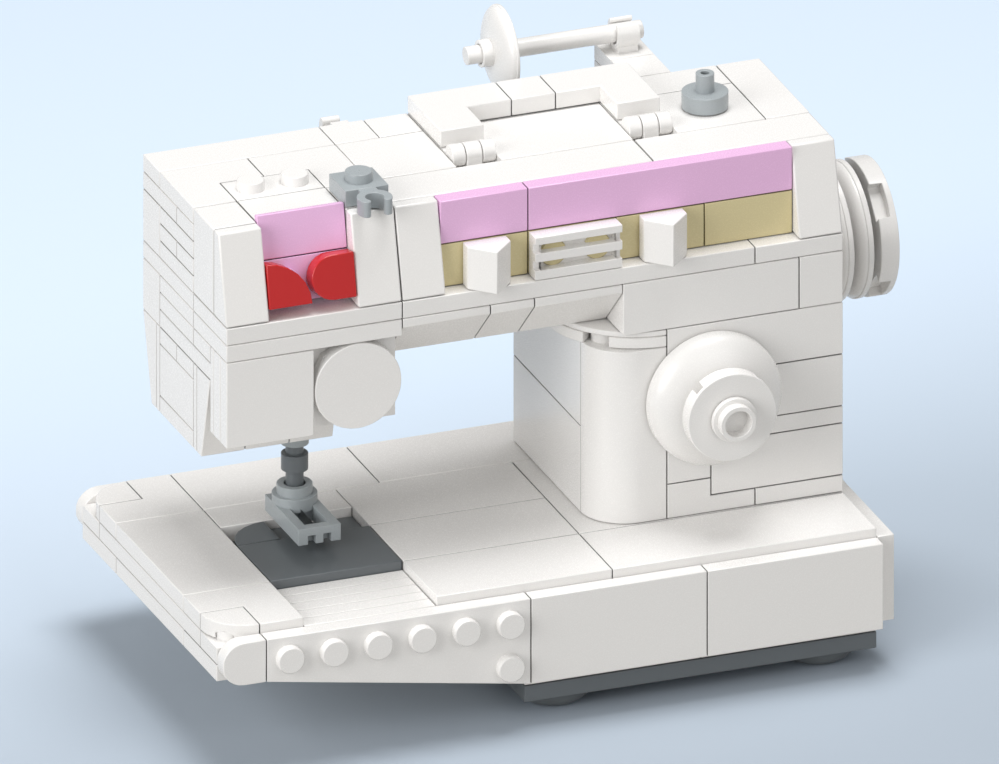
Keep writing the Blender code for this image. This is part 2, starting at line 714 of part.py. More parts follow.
def wheel_frame():
    middle = (Z(19) + Z(22)) / 2 - WHEEL_DROP
    return facing("RIGHT", X(15), Y(4.5), middle)


def build_arm_front(sideways):
    face = face_y()
    outline = [(face - WEDGE_THICK, Z(23)), (face, Z(23)), (face, Z(28)),
               (face - WEDGE_THIN, Z(28))]
    thick_end = [(face - WEDGE_THICK / 2, Z(23)), (face, Z(25))]
    for column in (1, 4, 5, 14):
        sideways.crosswise(column, column + 1, outline, thick_end)

    pink = Part("arm_pink_tiles", PINK)
    upper = Z(23) + PITCH
    pink.moulded(facing("FRONT", X(6), face, upper), 2, 1, PLATE)
    pink.moulded(facing("FRONT", X(8), face, upper), 6, 1, PLATE)

    tan = Part("tan_row", TAN)
    tan.moulded(facing("FRONT", X(6), face, Z(23)), 2, 1, PLATE, {(0.5, 0)}, sides=SMALL)
    tan.moulded(facing("FRONT", X(8), face, Z(23)), 2, 1, PLATE, {(0, 0), (1, 0)}, sides=VISIBLE)
    tan.moulded(facing("FRONT", X(10), face, Z(23)), 2, 1, PLATE, {(0.5, 0)}, sides=SMALL)
    tan.moulded(facing("FRONT", X(12), face, Z(23)), 2, 1, PLATE)

    grille = Part("grille", WHITE)
    frame = facing("FRONT", X(8), face - PLATE, Z(23))
    grille.moulded(frame, 2, 1, PLATE)
    top = PLATE - EASE
    for low in (EASE + GRILLE_BAR, EASE + 3 * GRILLE_BAR):
        high = low + GRILLE_BAR
        inner = (EASE + WALL, low, PLATE / 3), (2 * PITCH - EASE - WALL, high, 2 * PLATE)
        grille.cut(box(*inner), frame)
        for start in (-PITCH, 2 * PITCH - EASE - WALL):
            step = (start, low, top - GRILLE_STEP), (start + PITCH + EASE + WALL, high, 2 * PLATE)
            grille.cut(box(*step), frame)

    half = PITCH / 2
    for name, column in (("selector_knob_left", 7), ("selector_knob_right", 11)):
        knob = Part(name, WHITE)
        x, y = X(column), face - PLATE
        points = [(x + half, y), (x - half, y), (x - half, y - KNOB_SHOULDER),
                  (x, y - KNOB_RIDGE), (x + half, y - KNOB_SHOULDER)]
        knob.add(outlined(eased(points), Z(23) + EASE, Z(23) + PITCH - EASE))
        knob.socket(facing("FRONT", x, y + EASE, Z(23) + half), 0, 0)


def build_head(sideways):
    bottom = Z(23) + PANEL_RISE
    tilt = math.atan((WEDGE_THICK - PANEL_THIN) / (Z(28) - Z(23)))
    plane_y = face_y() - WEDGE_THICK + PANEL_RISE * math.tan(tilt)
    lean = Matrix.Rotation(-tilt, 4, "X")
    panel = facing("FRONT", X(2), plane_y, bottom) @ lean

    def on_panel(column, up, depth):
        return panel @ Matrix.Translation((column * PITCH, up, -depth))

    quarter = Part("red_quarter_tile", RED)
    points = [(0, 0), *arc(0, 0, PITCH, 0, 90)]
    quarter.add(outlined(eased(points), EASE, PLATE - EASE), on_panel(0, 0, PLATE))
    quarter.socket(on_panel(0.5, PITCH / 2, PLATE), 0, 0)

    half = PITCH / 2
    half_round = Part("red_half_tile", RED)
    points = [(PITCH, 0), (PITCH, PITCH), *arc(half, half, half, 90, 270, 2 * ARC)]
    half_round.add(outlined(eased(points), EASE, PLATE - EASE), on_panel(1, 0, PLATE))
    half_round.socket(on_panel(1.5, half, PLATE), 0, 0)

    lower = Part("panel_lower", PINK)
    lower.moulded(on_panel(0, 0, 2 * PLATE), 2, 1, PLATE, {(0, 0), (1, 0)}, sides=SMALL)

    upper = Part("panel_upper", PINK)
    upper.moulded(on_panel(0, PITCH, PLATE + PANEL_SKIN + EASE), 2, 1, PANEL_SKIN + EASE, (),
                  hollow=False)

    def plane(up, depth):
        point = on_panel(0, up, depth).translation
        return point.y, point.z

    def plane_at(depth, height):
        y, z = plane(0, depth)
        return y + (height - z) * math.tan(tilt), height

    step = plane(PITCH, 2 * PLATE)
    step_in = plane(PITCH, PLATE + PANEL_SKIN + EASE)
    points = [plane_at(2 * PLATE, Z(23)), (Y(4), Z(23)), (Y(4), Z(27)),
              plane_at(PLATE + PANEL_SKIN + EASE, Z(27)), step_in, step]
    sideways.crosswise(2, 4, points)

    plates = Part("head_plates", WHITE)
    plates.lay((20, 21), (1, 5, 4, 6), studs=())
    plates.lay((20, 21), (1, 5, 3, 4), studs=())
    plates.lay((21, 22), (1, 5, 4, 6), studs={(1, 4), (4, 5)})
    plates.lay((21, 22), (1, 5, 2, 4), studs={(1, 3), (4, 3)})

    plates.lay((19, 22), (1, 5, 6, 7))

    brackets = Part("head_brackets", WHITE)
    bracket_face = Y(3) - HALF_PLATE
    for column in (1, 3):
        points = [(bracket_face, Z(16)), (Y(3), Z(16)), (Y(3), Z(19)), (Y(6), Z(19)),
                  (Y(6), Z(20)), (Y(3), Z(20)), (Y(3), Z(21)), (bracket_face, Z(21))]
        brackets.crosswise(column, column + 2, points, [(bracket_face, Z(16)), (Y(3), Z(21))],
                           [(Y(3), Z(19)), (Y(6), Z(20))])
    brackets.moulded(facing("FRONT", X(1), bracket_face, Z(16)), 4, 2, PLATE,
                      {(0, 0), (1, 1), (2, 1), (3, 0)})

    square = Part("head_square_tile", WHITE)
    square.moulded(facing("FRONT", X(1), bracket_face - PLATE, Z(16)), 2, 2, PLATE)

    disc = Part("head_round_tile", WHITE)
    frame = facing("FRONT", X(4), bracket_face - PLATE, Z(16) + PITCH)
    disc.add(rod(PITCH - EASE, EASE, PLATE - EASE, sides=ROUND), frame)
    for x, y in ((-half, half), (half, -half)):
        disc.socket(frame, x, y)

    core = Part("head_lower_core", WHITE)
    core.lay((18, 19), (1, 4, 4, 5), (1, 4, 5, 6), studs=())
    core.lay((14, 15), (1, 4, 4, 6), studs=(), hollow=False)
    core.lay((15, 18), (1, 4, 4, 6), studs=())
    core.cut(rod(NEEDLE_R + SEAM + EASE, -PLATE, 2 * PLATE), needle_frame(Z(14)))

    for near in (Y(4) - HALF_PLATE, Y(6)):
        shape = box((X(1) + EASE, near + EASE, Z(14) + EASE),
                    (X(4) - EASE, near + HALF_PLATE - EASE, Z(19) - EASE))
        core.add(shape)
        core.note(Matrix(), (X(1), near, Z(14)), (X(4), near + HALF_PLATE, Z(19)))

    near, far = Y(4) - HALF_PLATE, Y(6) + HALF_PLATE
    front = [(near - LOWER_WEDGE_THIN, Z(14)), (near, Z(14)), (near, Z(19)),
             (near - WEDGE_THICK, Z(19))]
    back = [(far, Z(14)), (far + LOWER_WEDGE_THIN, Z(14)), (far + WEDGE_THICK, Z(19)),
            (far, Z(19))]
    for outline, edge, way in ((front, near, -1), (back, far, 1)):
        thick_end = [(edge, Z(17)), (edge + way * WEDGE_THICK / 2, Z(19))]
        for column in (1, 2, 3):
            core.crosswise(column, column + 1, outline, thick_end)


def needle_frame(z):
    return facing("UP", X(3.5), Y(4.5), z)


def build_needle(needle, presser):
    top = Z(14)
    collar = Part("needle_collar", LIGHT_GREY)
    bore = NEEDLE_R + 1.5 * EASE
    profile = [(bore, -EASE), (COLLAR_R, -EASE), (COLLAR_R, -COLLAR_T), (bore, -COLLAR_T)]
    collar.add(turned(profile, VISIBLE, ring=True), needle_frame(top))

    bed = Z(8)
    bar = Part("needle_bar", DARK_GREY, needle)
    sleeve_top = top - SLEEVE_DROP
    profile = [(0, top + NEEDLE_TOP), (NEEDLE_R, top + NEEDLE_TOP), (NEEDLE_R, sleeve_top),
               (SLEEVE_R, sleeve_top), (SLEEVE_R, sleeve_top - SLEEVE_T),
               (NEEDLE_R, sleeve_top - SLEEVE_T), (NEEDLE_R, bed + NEEDLE_TIP), (0, bed + NEEDLE_TIP)]
    bar.add(turned(profile, SMALL), needle_frame(0))

    foot = Part("presser_foot", LIGHT_GREY, presser)
    rim = bed + RING_TOP
    flange = rim - RING_T
    low = flange - RING_FLANGE_T
    floor = low + RING_WEB - SEAM
    neck = bed + FOOT_TOP - ROOF
    profile = [(0, floor), (NEEDLE_R + SEAM, floor), (NEEDLE_R + SEAM, rim), (RING_R, rim),
               (RING_R, flange), (RING_FLANGE_R, flange), (RING_FLANGE_R, neck), (0, neck)]
    foot.join(turned(profile, VISIBLE), needle_frame(0))
    sole = bed + FOOT_TOP - FOOT_T
    deck = bed + FOOT_TOP - EASE
    near, far = Y(3), Y(5)
    foot.add(box((X(3) + EASE, near, sole), (X(4) - EASE, far, deck)))
    middle = X(3.5)
    window_y = near + FOOT_BACK
    cuts = [((middle - FOOT_WINDOW / 2, window_y, sole - PLATE),
             (middle - FOOT_RIB / 2, window_y + FOOT_WINDOW_LENGTH, deck + PLATE)),
            ((middle + FOOT_RIB / 2, window_y, sole - PLATE),
             (middle + FOOT_WINDOW / 2, window_y + FOOT_WINDOW_LENGTH, deck + PLATE)),
            ((middle - FOOT_RIB / 2, window_y, deck - FOOT_T / 2),
             (middle + FOOT_RIB / 2, window_y + FOOT_WINDOW_LENGTH, deck + PLATE))]
    for side in (-1, 1):
        notch = middle + side * (FOOT_WINDOW + FOOT_NOTCH) / 4
        cuts.append(((notch - FOOT_NOTCH / 2, near - PLATE, sole - PLATE),
                     (notch + FOOT_NOTCH / 2, near + FOOT_BACK / 2, sole + FOOT_T / 2)))
    for low_corner, high_corner in cuts:
        foot.cut(box(low_corner, high_corner))


def build_top(turning_guide):
    tiles = Part("top_tiles_left", WHITE)
    tiles.lay((27, 28), (1, 5, 6, 7), (5, 7, 4, 6), (6, 7, 6, 7), studs=())
    tiles.slab((27, 28), [(1, 4), (2, 4), (2, 5), (3, 5), (3, 6), (1, 6)],
               (1, 3, 5, 6), (1, 2, 4, 5))
    tiles.slab((27, 28), [(4, 4), (5, 4), (5, 6), (3, 6), (3, 5), (4, 5)],
               (3, 5, 5, 6), (4, 5, 4, 5))

    stud_plate = Part("head_stud_plate", WHITE)
    stud_plate.lay((27, 28), (2, 4, 4, 5), (2, 4, 3, 4), studs={(2, 4), (3, 4)}, sides=VISIBLE)

    right = Part("top_tiles_right", WHITE)
    right.lay((27, 28), (12, 14, 6, 7), (14, 15, 4, 7), studs=())
    right.moulded(facing("UP", X(12), Y(4), Z(27)), 2, 2, PLATE, {(0.5, 0.5)}, sides=SMALL)

    rear_clip = Part("rear_thread_clip", WHITE)
    rear_clip.lay((27, 28), (5, 6, 6, 7), studs=())
    rear_clip.join(box((X(5.5) - HALF_PLATE, Y(7) - ROOF, Z(27) + SEAM),
                       (X(5.5) + HALF_PLATE, Y(7) + ROOF, Z(28) - EASE)))
    ring = facing("RIGHT", X(5.5), Y(7) + EASE + CLIP_R, Z(28) - CLIP_R)
    add_clip(rear_clip, ring, CLIP_R, PLATE, 90)

    guide = Part("thread_guide", LIGHT_GREY, turning_guide)
    frame = facing("UP", X(4), face_y(), Z(28))
    guide.moulded(frame, 1, 1, PLATE, {(0, 0)}, hollow=False, sides=VISIBLE)
    guide.socket(frame, PITCH / 2, PITCH / 2)
    guide.join(box((X(4.5) - BAR_R, face_y() - CLIP_NECK - ROOF, Z(28) + EASE),
                   (X(4.5) + BAR_R, face_y() + ROOF, Z(29) - EASE)))
    ring = facing("UP", X(4.5), face_y() - CLIP_NECK - CLIP_R, Z(28.5))
    add_clip(guide, ring, CLIP_R, PLATE - SEAM, -90)


def add_clip(part, frame, radius, width, mouth):
    """A spring clip round a frame's z axis, open towards an angle in degrees."""
    part.join(rod(radius, -width / 2, width / 2, sides=VISIBLE), frame)
    part.cut(rod(BAR_R, -width, width), frame)
    turn = Matrix.Rotation(math.radians(mouth), 4, "Z")
    part.cut(box((0, -CLIP_MOUTH / 2, -width), (2 * radius, CLIP_MOUTH / 2, width)), frame @ turn)


def build_spool(spool):
    bracket = Part("spool_bracket", WHITE)
    bracket.lay((26, 27), (12, 13, 6, 9), studs={(12, 6)})
    bracket.lay((27, 28), (12, 13, 7, 8), studs=())

    bracket.lay((27, 28), (12, 13, 8, 9), studs=())
    axis = facing("RIGHT", 0, Y(SPOOL_ROW), Z(28) + SPOOL_LIFT)
    ring = axis @ Matrix.Translation((0, 0, X(12.5)))
    half_width = SPOOL_CLIP_W / 2
    bracket.join(rod(SPOOL_CLIP_R, -half_width, half_width, sides=VISIBLE), ring)
    web = ((-SPOOL_CLIP_R * 0.7, -SPOOL_LIFT - ROOF, -half_width),
           (SPOOL_CLIP_R * 0.7, -BAR_R, half_width))
    bracket.join(box(*web), ring)
    bracket.cut(rod(BAR_R + SEAM, -PITCH, PITCH), ring)
    bracket.cut(box((-CLIP_MOUTH / 2, 0, -PITCH), (CLIP_MOUTH / 2, PITCH, PITCH)), ring)

    bar = Part("spool_bar", WHITE, spool)
    start, end = X(9) - SPOOL_BAR_LEFT, X(13) - SPOOL_BAR_RIGHT
    bar.add(rod(BAR_R, start, end), axis)

    dish = Part("spool_dish", WHITE, spool)
    edge = X(11) - PITCH - SPOOL_RIM_IN
    left = facing("LEFT", edge, Y(SPOOL_ROW), Z(28) + SPOOL_LIFT)
    bore = BAR_R + EASE
    crown = SPOOL_RIM + SPOOL_RISE
    outer = [point for point in dome(SPOOL_R, SPOOL_RIM, SPOOL_RISE, 4) if point[0] > STUD_R]
    inner = dome(SPOOL_R - ROOF, 0, SPOOL_RISE - ROOF / 2, 4)
    profile = [(bore, crown + STUD_H), (STUD_R, crown + STUD_H), (STUD_R, crown - ROOF / 4)]
    profile += outer + [(SPOOL_R, 0)] + [p for p in reversed(inner) if p[0] > STUD_R]
    profile += [(STUD_R, SPOOL_RISE - ROOF / 2), (bore, SPOOL_RISE - ROOF / 2)]
    dish.add(turned(profile, VISIBLE, ring=True), left)


def build_bobbin(bobbin):
    winder = Part("bobbin_winder", LIGHT_GREY, bobbin)
    frame = facing("UP", X(13), Y(5), Z(28))
    winder.add(rod(BOBBIN_R, EASE, PLATE - EASE, sides=VISIBLE), frame)
    winder.join(rod(BAR_R, PLATE - ROOF, PLATE + BOBBIN_PIN_H), frame)
    winder.socket(frame, 0, 0)
    winder.cut(rod(BOBBIN_BORE_R, PLATE, 2 * PLATE + BOBBIN_PIN_H, sides=HIDDEN), frame)


def build_handle(handle):
    tiles = Part("handle_tiles", WHITE, handle)
    tiles.slab((28, 29), [(7, 5), (8, 5), (8, 6), (9, 6), (9, 7), (7, 7)],
               (7, 8, 5, 6), (7, 9, 6, 7), hollow=False)
    tiles.slab((28, 29), [(11, 5), (12, 5), (12, 7), (10, 7), (10, 6), (11, 6)],
               (11, 12, 5, 6), (10, 12, 6, 7), hollow=False)
    tiles.lay((28, 29), (9, 10, 6, 7), studs=(), hollow=False)

    plates = Part("handle_plates", WHITE, handle)
    plates.lay((27, 28), (7, 8, 5, 7), (8, 11, 6, 7), (11, 12, 5, 7), studs=(), hollow=False)

    mounts = Part("hinge_tile", WHITE)
    mounts.lay((27, 28), (8, 11, 4, 6), studs=())
    height = Z(28) + HINGE_LIFT
    lug, seat = HINGE_LUG, Z(27) + EASE + HINGE_SEAT
    for column in (7, 11):
        axis = facing("RIGHT", X(column), Y(4.5), height)
        low, high = lug + SEAM + EASE, PITCH - lug - SEAM - EASE
        mounts.add(box((X(column) + EASE, Y(4) + EASE, Z(27) + EASE),
                       (X(column + 1) - EASE, Y(5) - EASE, seat)))
        mounts.note(Matrix(), (X(column), Y(4), Z(27)), (X(column + 1), Y(5), seat + EASE))
        mounts.join(rod(HINGE_R, low, high), axis)
        mounts.join(box((-HINGE_R, seat - height - ROOF / 2, low), (HINGE_R, 0, high)), axis)
        mounts.cut(rod(HINGE_BORE_R, low - SEAM, high + SEAM), axis)
        tongue = PITCH / 2 + EASE + PIN_GRIP
        for start in (EASE, PITCH - lug - EASE):
            plates.join(rod(HINGE_R, start, start + lug), axis)
            plates.join(box((0, -HINGE_R, start), (tongue, -HINGE_LIFT - EASE, start + lug)), axis)
        plates.join(rod(HINGE_PIN_R, lug / 2, PITCH - lug / 2, sides=HIDDEN), axis)


def build_wheel(wheel):
    axis = wheel_frame()
    away = axis @ Matrix.Rotation(math.pi, 4, "X")
    bore = AXLE_R + EASE
    for name, rim in (("wheel_dish_inner", WHEEL_GAP),
                      ("wheel_dish_outer", WHEEL_GAP + WHEEL_STEP)):
        dish = Part(name, WHITE, wheel)
        open_side = rim + WHEEL_RIM
        frame = away @ Matrix.Translation((0, 0, -open_side))
        boss = open_side - (rim - WHEEL_RISE + WHEEL_STEP - SEAM)
        profile = dish_profile(WHEEL_R, WHEEL_RIM, WHEEL_RISE, WHEEL_RIM, WHEEL_BOSS_R, boss, bore,
                               None)
        dish.add(turned(profile, ring=True), frame)

    disc = Part("wheel_outer_disc", WHITE, wheel)
    inner_face = WHEEL_REACH - WHEEL_DISC_T
    notched_disc(disc, axis @ Matrix.Translation((0, 0, inner_face)), WHEEL_R, WHEEL_DISC_T,
                 WHEEL_NOTCH, bore, AXLE_SOCKET)

    axle = Part("wheel_axle", WHITE, wheel)
    axle.add(rod(AXLE_R, -AXLE_BEARING, inner_face + AXLE_SOCKET - SEAM, sides=VISIBLE), axis)


def main():
    clear_scene()
    home = collection("brick_sewing_machine")
    tools = collection("joining_and_cutting_shapes")
    machine = pivot("machine", 0, 0, 0)
    places = {
        "dial_pivot": facing("FRONT", X(12), Y(2), Z(13) + SIDE_STUD_H).translation,
        "wheel_pivot": wheel_frame().translation,
        "handle_pivot": (X(9.5), Y(4.5), Z(28) + HINGE_LIFT),
        "bobbin_pivot": (X(13), Y(5), Z(28)),
        "spool_pivot": (X(12.5), Y(SPOOL_ROW), Z(28) + SPOOL_LIFT),
        "thread_guide_pivot": (X(4.5), face_y() + PITCH / 2, Z(28)),
        "needle_pivot": (X(3.5), Y(4.5), Z(14)),
        "presser_pivot": (X(3.5), Y(4.5), Z(8) + FOOT_TOP),
    }
    pivots = {name: pivot(name, *place) for name, place in places.items()}
    for empty in (machine, *pivots.values()):
        home.objects.link(empty)

    build_base()
    build_bed()
    build_column()
    build_dial(pivots["dial_pivot"])
    sideways = build_arm()
    build_arm_front(sideways)
    build_head(sideways)
    build_needle(pivots["needle_pivot"], pivots["presser_pivot"])
    build_top(pivots["thread_guide_pivot"])
    build_spool(pivots["spool_pivot"])
    build_bobbin(pivots["bobbin_pivot"])
    build_handle(pivots["handle_pivot"])
    build_wheel(pivots["wheel_pivot"])
    for part in Part.made:
        part.finish_object(home, tools, machine)


main()
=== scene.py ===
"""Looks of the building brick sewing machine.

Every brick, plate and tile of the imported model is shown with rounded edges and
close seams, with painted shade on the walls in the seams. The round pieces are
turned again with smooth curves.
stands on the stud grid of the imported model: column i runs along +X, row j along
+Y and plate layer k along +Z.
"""

import json
import math

import bmesh
import bpy
from mathutils import Matrix, Vector
from mathutils.bvhtree import BVHTree


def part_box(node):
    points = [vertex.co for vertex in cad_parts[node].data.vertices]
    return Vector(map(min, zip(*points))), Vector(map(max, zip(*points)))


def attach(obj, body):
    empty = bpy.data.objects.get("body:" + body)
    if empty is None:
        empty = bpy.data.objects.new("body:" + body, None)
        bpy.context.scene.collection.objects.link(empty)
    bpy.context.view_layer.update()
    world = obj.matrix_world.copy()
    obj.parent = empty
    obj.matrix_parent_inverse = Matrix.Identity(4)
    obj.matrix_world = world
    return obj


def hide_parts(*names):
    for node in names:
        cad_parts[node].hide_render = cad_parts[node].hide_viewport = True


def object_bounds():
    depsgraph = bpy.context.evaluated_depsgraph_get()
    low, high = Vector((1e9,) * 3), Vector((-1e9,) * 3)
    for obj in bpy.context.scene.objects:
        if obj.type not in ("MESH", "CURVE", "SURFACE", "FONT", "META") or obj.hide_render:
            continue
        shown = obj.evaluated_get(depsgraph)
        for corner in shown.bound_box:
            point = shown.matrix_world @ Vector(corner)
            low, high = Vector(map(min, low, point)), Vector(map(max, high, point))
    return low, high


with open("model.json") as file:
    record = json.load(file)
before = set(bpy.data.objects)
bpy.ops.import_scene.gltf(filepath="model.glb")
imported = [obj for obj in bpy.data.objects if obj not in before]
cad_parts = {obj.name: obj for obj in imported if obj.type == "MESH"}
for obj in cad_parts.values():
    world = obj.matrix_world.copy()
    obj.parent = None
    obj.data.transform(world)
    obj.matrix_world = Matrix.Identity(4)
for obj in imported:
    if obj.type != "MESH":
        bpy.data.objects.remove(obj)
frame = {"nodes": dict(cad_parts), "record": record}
cad_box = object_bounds()

# Stud grid and moulded pieces
PITCH = 0.008
PLATE = 2 * PITCH / 5
BRICK = 3 * PLATE
SEAM = 0.0003
EASE = SEAM / 2
GROWTH = 0.00007
GAP = EASE - GROWTH
EDGE = 0.00015
FINE_EDGE = 0.00009
WIDE_EDGE = 0.0003
SEAM_REACH = 0.0005
ROOF = 0.001
STUD_R = 0.0024
STUD_H = 0.0017
STUD_EDGE = 0.00022
STUD_TURN = 0.3
BAR_R = 0.0016
CLIP_NECK = 0.0005
CLIP_R = 0.00305
CLIP_MOUTH = 0.0024

# Feet
FOOT_RIM_R = 0.0065
FOOT_CROWN_R = 0.003
FOOT_EDGE = 0.0008

# Grooves, grille and the ledge of a dish's rim
GROOVE = 0.0002
GROOVE_DEPTH = 0.0003
GRILLE_BAR = 0.0016
GRILLE_STEP = 0.0011
DISH_LEDGE = 0.00025

# Stitch dial
SIDE_STUD_H = 0.0058
DIAL_R = 0.012
DIAL_EDGE = 0.0018
DIAL_RISE = 0.005
DIAL_SKIN = 0.0014
DIAL_DISC_R = 0.008
DIAL_DISC_T = 0.003
HUB_FLANGE_R = 0.004
HUB_FLANGE_T = 0.001
HUB_R = 0.0032
HUB_LENGTH = 0.0017
HUB_BORE_R = 0.0024
HUB_FLOOR = 0.0003

# Handwheel
WHEEL_R = 0.012
WHEEL_DROP = 0.0008
WHEEL_GAP = 0.0041
WHEEL_RIM = 0.001
WHEEL_RISE = 0.003
WHEEL_STEP = 0.0036
WHEEL_DISC_GAP = 0.0013
WHEEL_DISC_T = 0.0033
BOSS_R = 0.0038
AXLE_R = 0.0024
AXLE_BEARING = 0.006
NOTCH_DEPTH = 0.002
WHEEL_NOTCH = 0.0062
DIAL_NOTCH = 0.0016
NOTCH_SHARE = 0.0022

# Spool holder and bobbin winder
SPOOL_ROW = 8.5
SPOOL_LIFT = 0.003
SPOOL_BAR_LEFT = 0.0008
SPOOL_BAR_RIGHT = 0.0009
SPOOL_R = 0.008
SPOOL_RIM = 0.0006
SPOOL_RISE = 0.0022
SPOOL_RIM_IN = 0.0018
SPOOL_CLIP_R = 0.00275
SPOOL_CLIP_W = 0.004
SPOOL_WEB_HALF = 0.001925
BOBBIN_R = 0.004
BOBBIN_PIN_H = 0.0032
BOBBIN_BORE_R = 0.00075

# Hinges of the carrying handle
HINGE_LIFT = 0.0002
HINGE_R = 0.0019
HINGE_LUG = 0.0022

# Needle and presser foot
COLLAR_R = 0.00245
COLLAR_T = 0.0037
NEEDLE_R = 0.00155
NEEDLE_TIP = 0.006
NEEDLE_TOP = 0.0015
SLEEVE_R = 0.00233
SLEEVE_T = 0.003
SLEEVE_DROP = 0.0055
RING_R = 0.00308
RING_TOP = 0.0081
RING_FLANGE_R = 0.0039
RING_FLANGE_T = 0.00125
RING_T = 0.0017
FOOT_TOP = 0.005
FOOT_T = 0.0032
FOOT_WINDOW = 0.0042
FOOT_BACK = 0.0017
FOOT_WINDOW_LENGTH = 0.0073
FOOT_RIB = 0.0008
FOOT_NOTCH = 0.0014
FOOT_SKIN = 0.0003

# Facets
ROUND = 96
SMALL = 48
ARC = 24
DOME = 20
FOOT_STEPS = 18
CREASE = math.radians(35)
FLAT = math.radians(0.5)
WELD = 0.00001
SQUARE = 0.01

# Moulded plastic: colour and roughness, then what varies over it
PLASTICS = {
    "white": ((0.88, 0.865, 0.845), 0.27),
    "pink": ((0.86, 0.525, 0.80), 0.27),
    "tan": ((0.70, 0.61, 0.345), 0.27),
    "red": ((0.56, 0.018, 0.018), 0.24),
    "light_grey": ((0.38, 0.415, 0.43), 0.28),
    "dark_grey": ((0.135, 0.15, 0.16), 0.3),
}
DRIFT = 0.004
DRIFT_SCALE = 14
HAZE = 0.03
HAZE_SCALE = 7000
RIPPLE = 0.0000003
RIPPLE_SCALE = 900
RIPPLE_STRENGTH = 0.2
PLASTIC_IOR = 1.53

# Painted shade in the seams between bricks: darker walls, and their rounded edges a little less
# dark
SEAM_PAINTED_SHADE = 0.4
SEAM_EDGE_PAINTED_SHADE = 0.7
SEAM_PROBES = (0.1, 0.25, 0.5)
SEAM_SHARE = 0.9

# The photograph's view
AZIMUTH = math.radians(-20.89)
ELEVATION = math.radians(24.07)
VIEW_WIDTH = 0.16938
VIEW_CENTRE = Vector((-0.008299, -0.017350, 0.054860))
VIEW_DISTANCE = 0.6

# Floor and light: the floor's seen colour darkens towards the front as painted shade
FLOOR_SIZE = 3.0
FLOOR_DEPTH = 0.01
FLOOR_NEAR = -0.08
FLOOR_FAR = 0.16
NEAR_PAPER_PAINTED_SHADE = (0.43, 0.49, 0.56, 1)
FAR_PAPER = (0.74, 0.86, 1.0, 1)
BOUNCE_PAPER = (0.5, 0.495, 0.48, 1)
PAPER_ROUGHNESS = 0.9
SKY_COLOUR = (1.0, 0.995, 0.985, 1)
SKY_STRENGTH = 0.26
LAMPS = (
    ("key", (0.08, 0.06, 0.9), 0.42, 5.4),
    ("left_fill", (-0.9, -0.35, 0.43), 0.7, 6.9),
    ("front_fill", (0.3, -0.95, 0.5), 0.7, 2.1),
)
LAMP_TARGET = Vector((0, 0, 0.04))

# Where the grid lies, taken from the base plate
BASE_COLUMN = 7
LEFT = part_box("base_plate")[0].x - EASE - BASE_COLUMN * PITCH
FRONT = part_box("base_plate")[0].y - EASE

FACINGS = {
    "UP": ((1, 0, 0), (0, 1, 0), (0, 0, 1)),
    "FRONT": ((1, 0, 0), (0, 0, 1), (0, -1, 0)),
    "BACK": ((-1, 0, 0), (0, 0, 1), (0, 1, 0)),
    "LEFT": ((0, -1, 0), (0, 0, 1), (-1, 0, 0)),
    "RIGHT": ((0, 1, 0), (0, 0, 1), (1, 0, 0)),
}


def X(column):
    return LEFT + column * PITCH


def Y(row):
    return FRONT + row * PITCH


def Z(layer):
    return layer * PLATE


def facing(side, x, y, z):
    """A frame at a point whose own z axis looks out of one side of the machine."""
    axes = Matrix(FACINGS[side]).transposed().to_4x4()
    return Matrix.Translation((x, y, z)) @ axes


def along(place, distance):
    return place @ Matrix.Translation((0, 0, distance))


FACE_Y = Y(4) - BRICK
DIAL_FRAME = facing("FRONT", X(12), Y(2), Z(13) + SIDE_STUD_H)
WHEEL_FRAME = facing("RIGHT", X(15), Y(4.5), (Z(19) + Z(22)) / 2 - WHEEL_DROP)
SPOOL_FRAME = facing("RIGHT", 0, Y(SPOOL_ROW), Z(28) + SPOOL_LIFT)
NEEDLE_FRAME = facing("UP", X(3.5), Y(4.5), 0)


def shown(name, data):
    """A new object of the scene around a mesh, a camera or a lamp."""
    item = bpy.data.objects.new(name, data)
    bpy.context.scene.collection.objects.link(item)
    return item


def mesh_of(shape, name):
    """A new mesh in place of a shape that is still being worked on."""
    mesh = bpy.data.meshes.new(name)
    shape.to_mesh(mesh)
    shape.free()
    return mesh


def set_camera():
    """A parallel view from where the photograph was taken."""
    data = bpy.data.cameras.new("photograph_view")
    data.type = "ORTHO"
    data.ortho_scale = VIEW_WIDTH
    camera = shown("photograph_view", data)
    camera.rotation_euler = (math.pi / 2 - ELEVATION, 0, AZIMUTH)
    back = camera.rotation_euler.to_matrix() @ Vector((0, 0, 1))
    camera.location = VIEW_CENTRE + back * VIEW_DISTANCE
    bpy.context.scene.camera = camera


class Wire:
    """A node's output in Python expressions: each operator adds a Math node."""

    def __init__(self, graph, socket):
        self.graph = graph
        self.socket = socket

    def math(self, operation, one, other):
        return self.graph.node("ShaderNodeMath", {"operation": operation}, {0: one, 1: other})

    def __add__(self, other):
        return self.math("ADD", self, other)

    def __sub__(self, other):
        return self.math("SUBTRACT", self, other)

    def __rsub__(self, other):
        return self.math("SUBTRACT", other, self)

    def __mul__(self, other):
        return self.math("MULTIPLY", self, other)

    __radd__ = __add__
    __rmul__ = __mul__


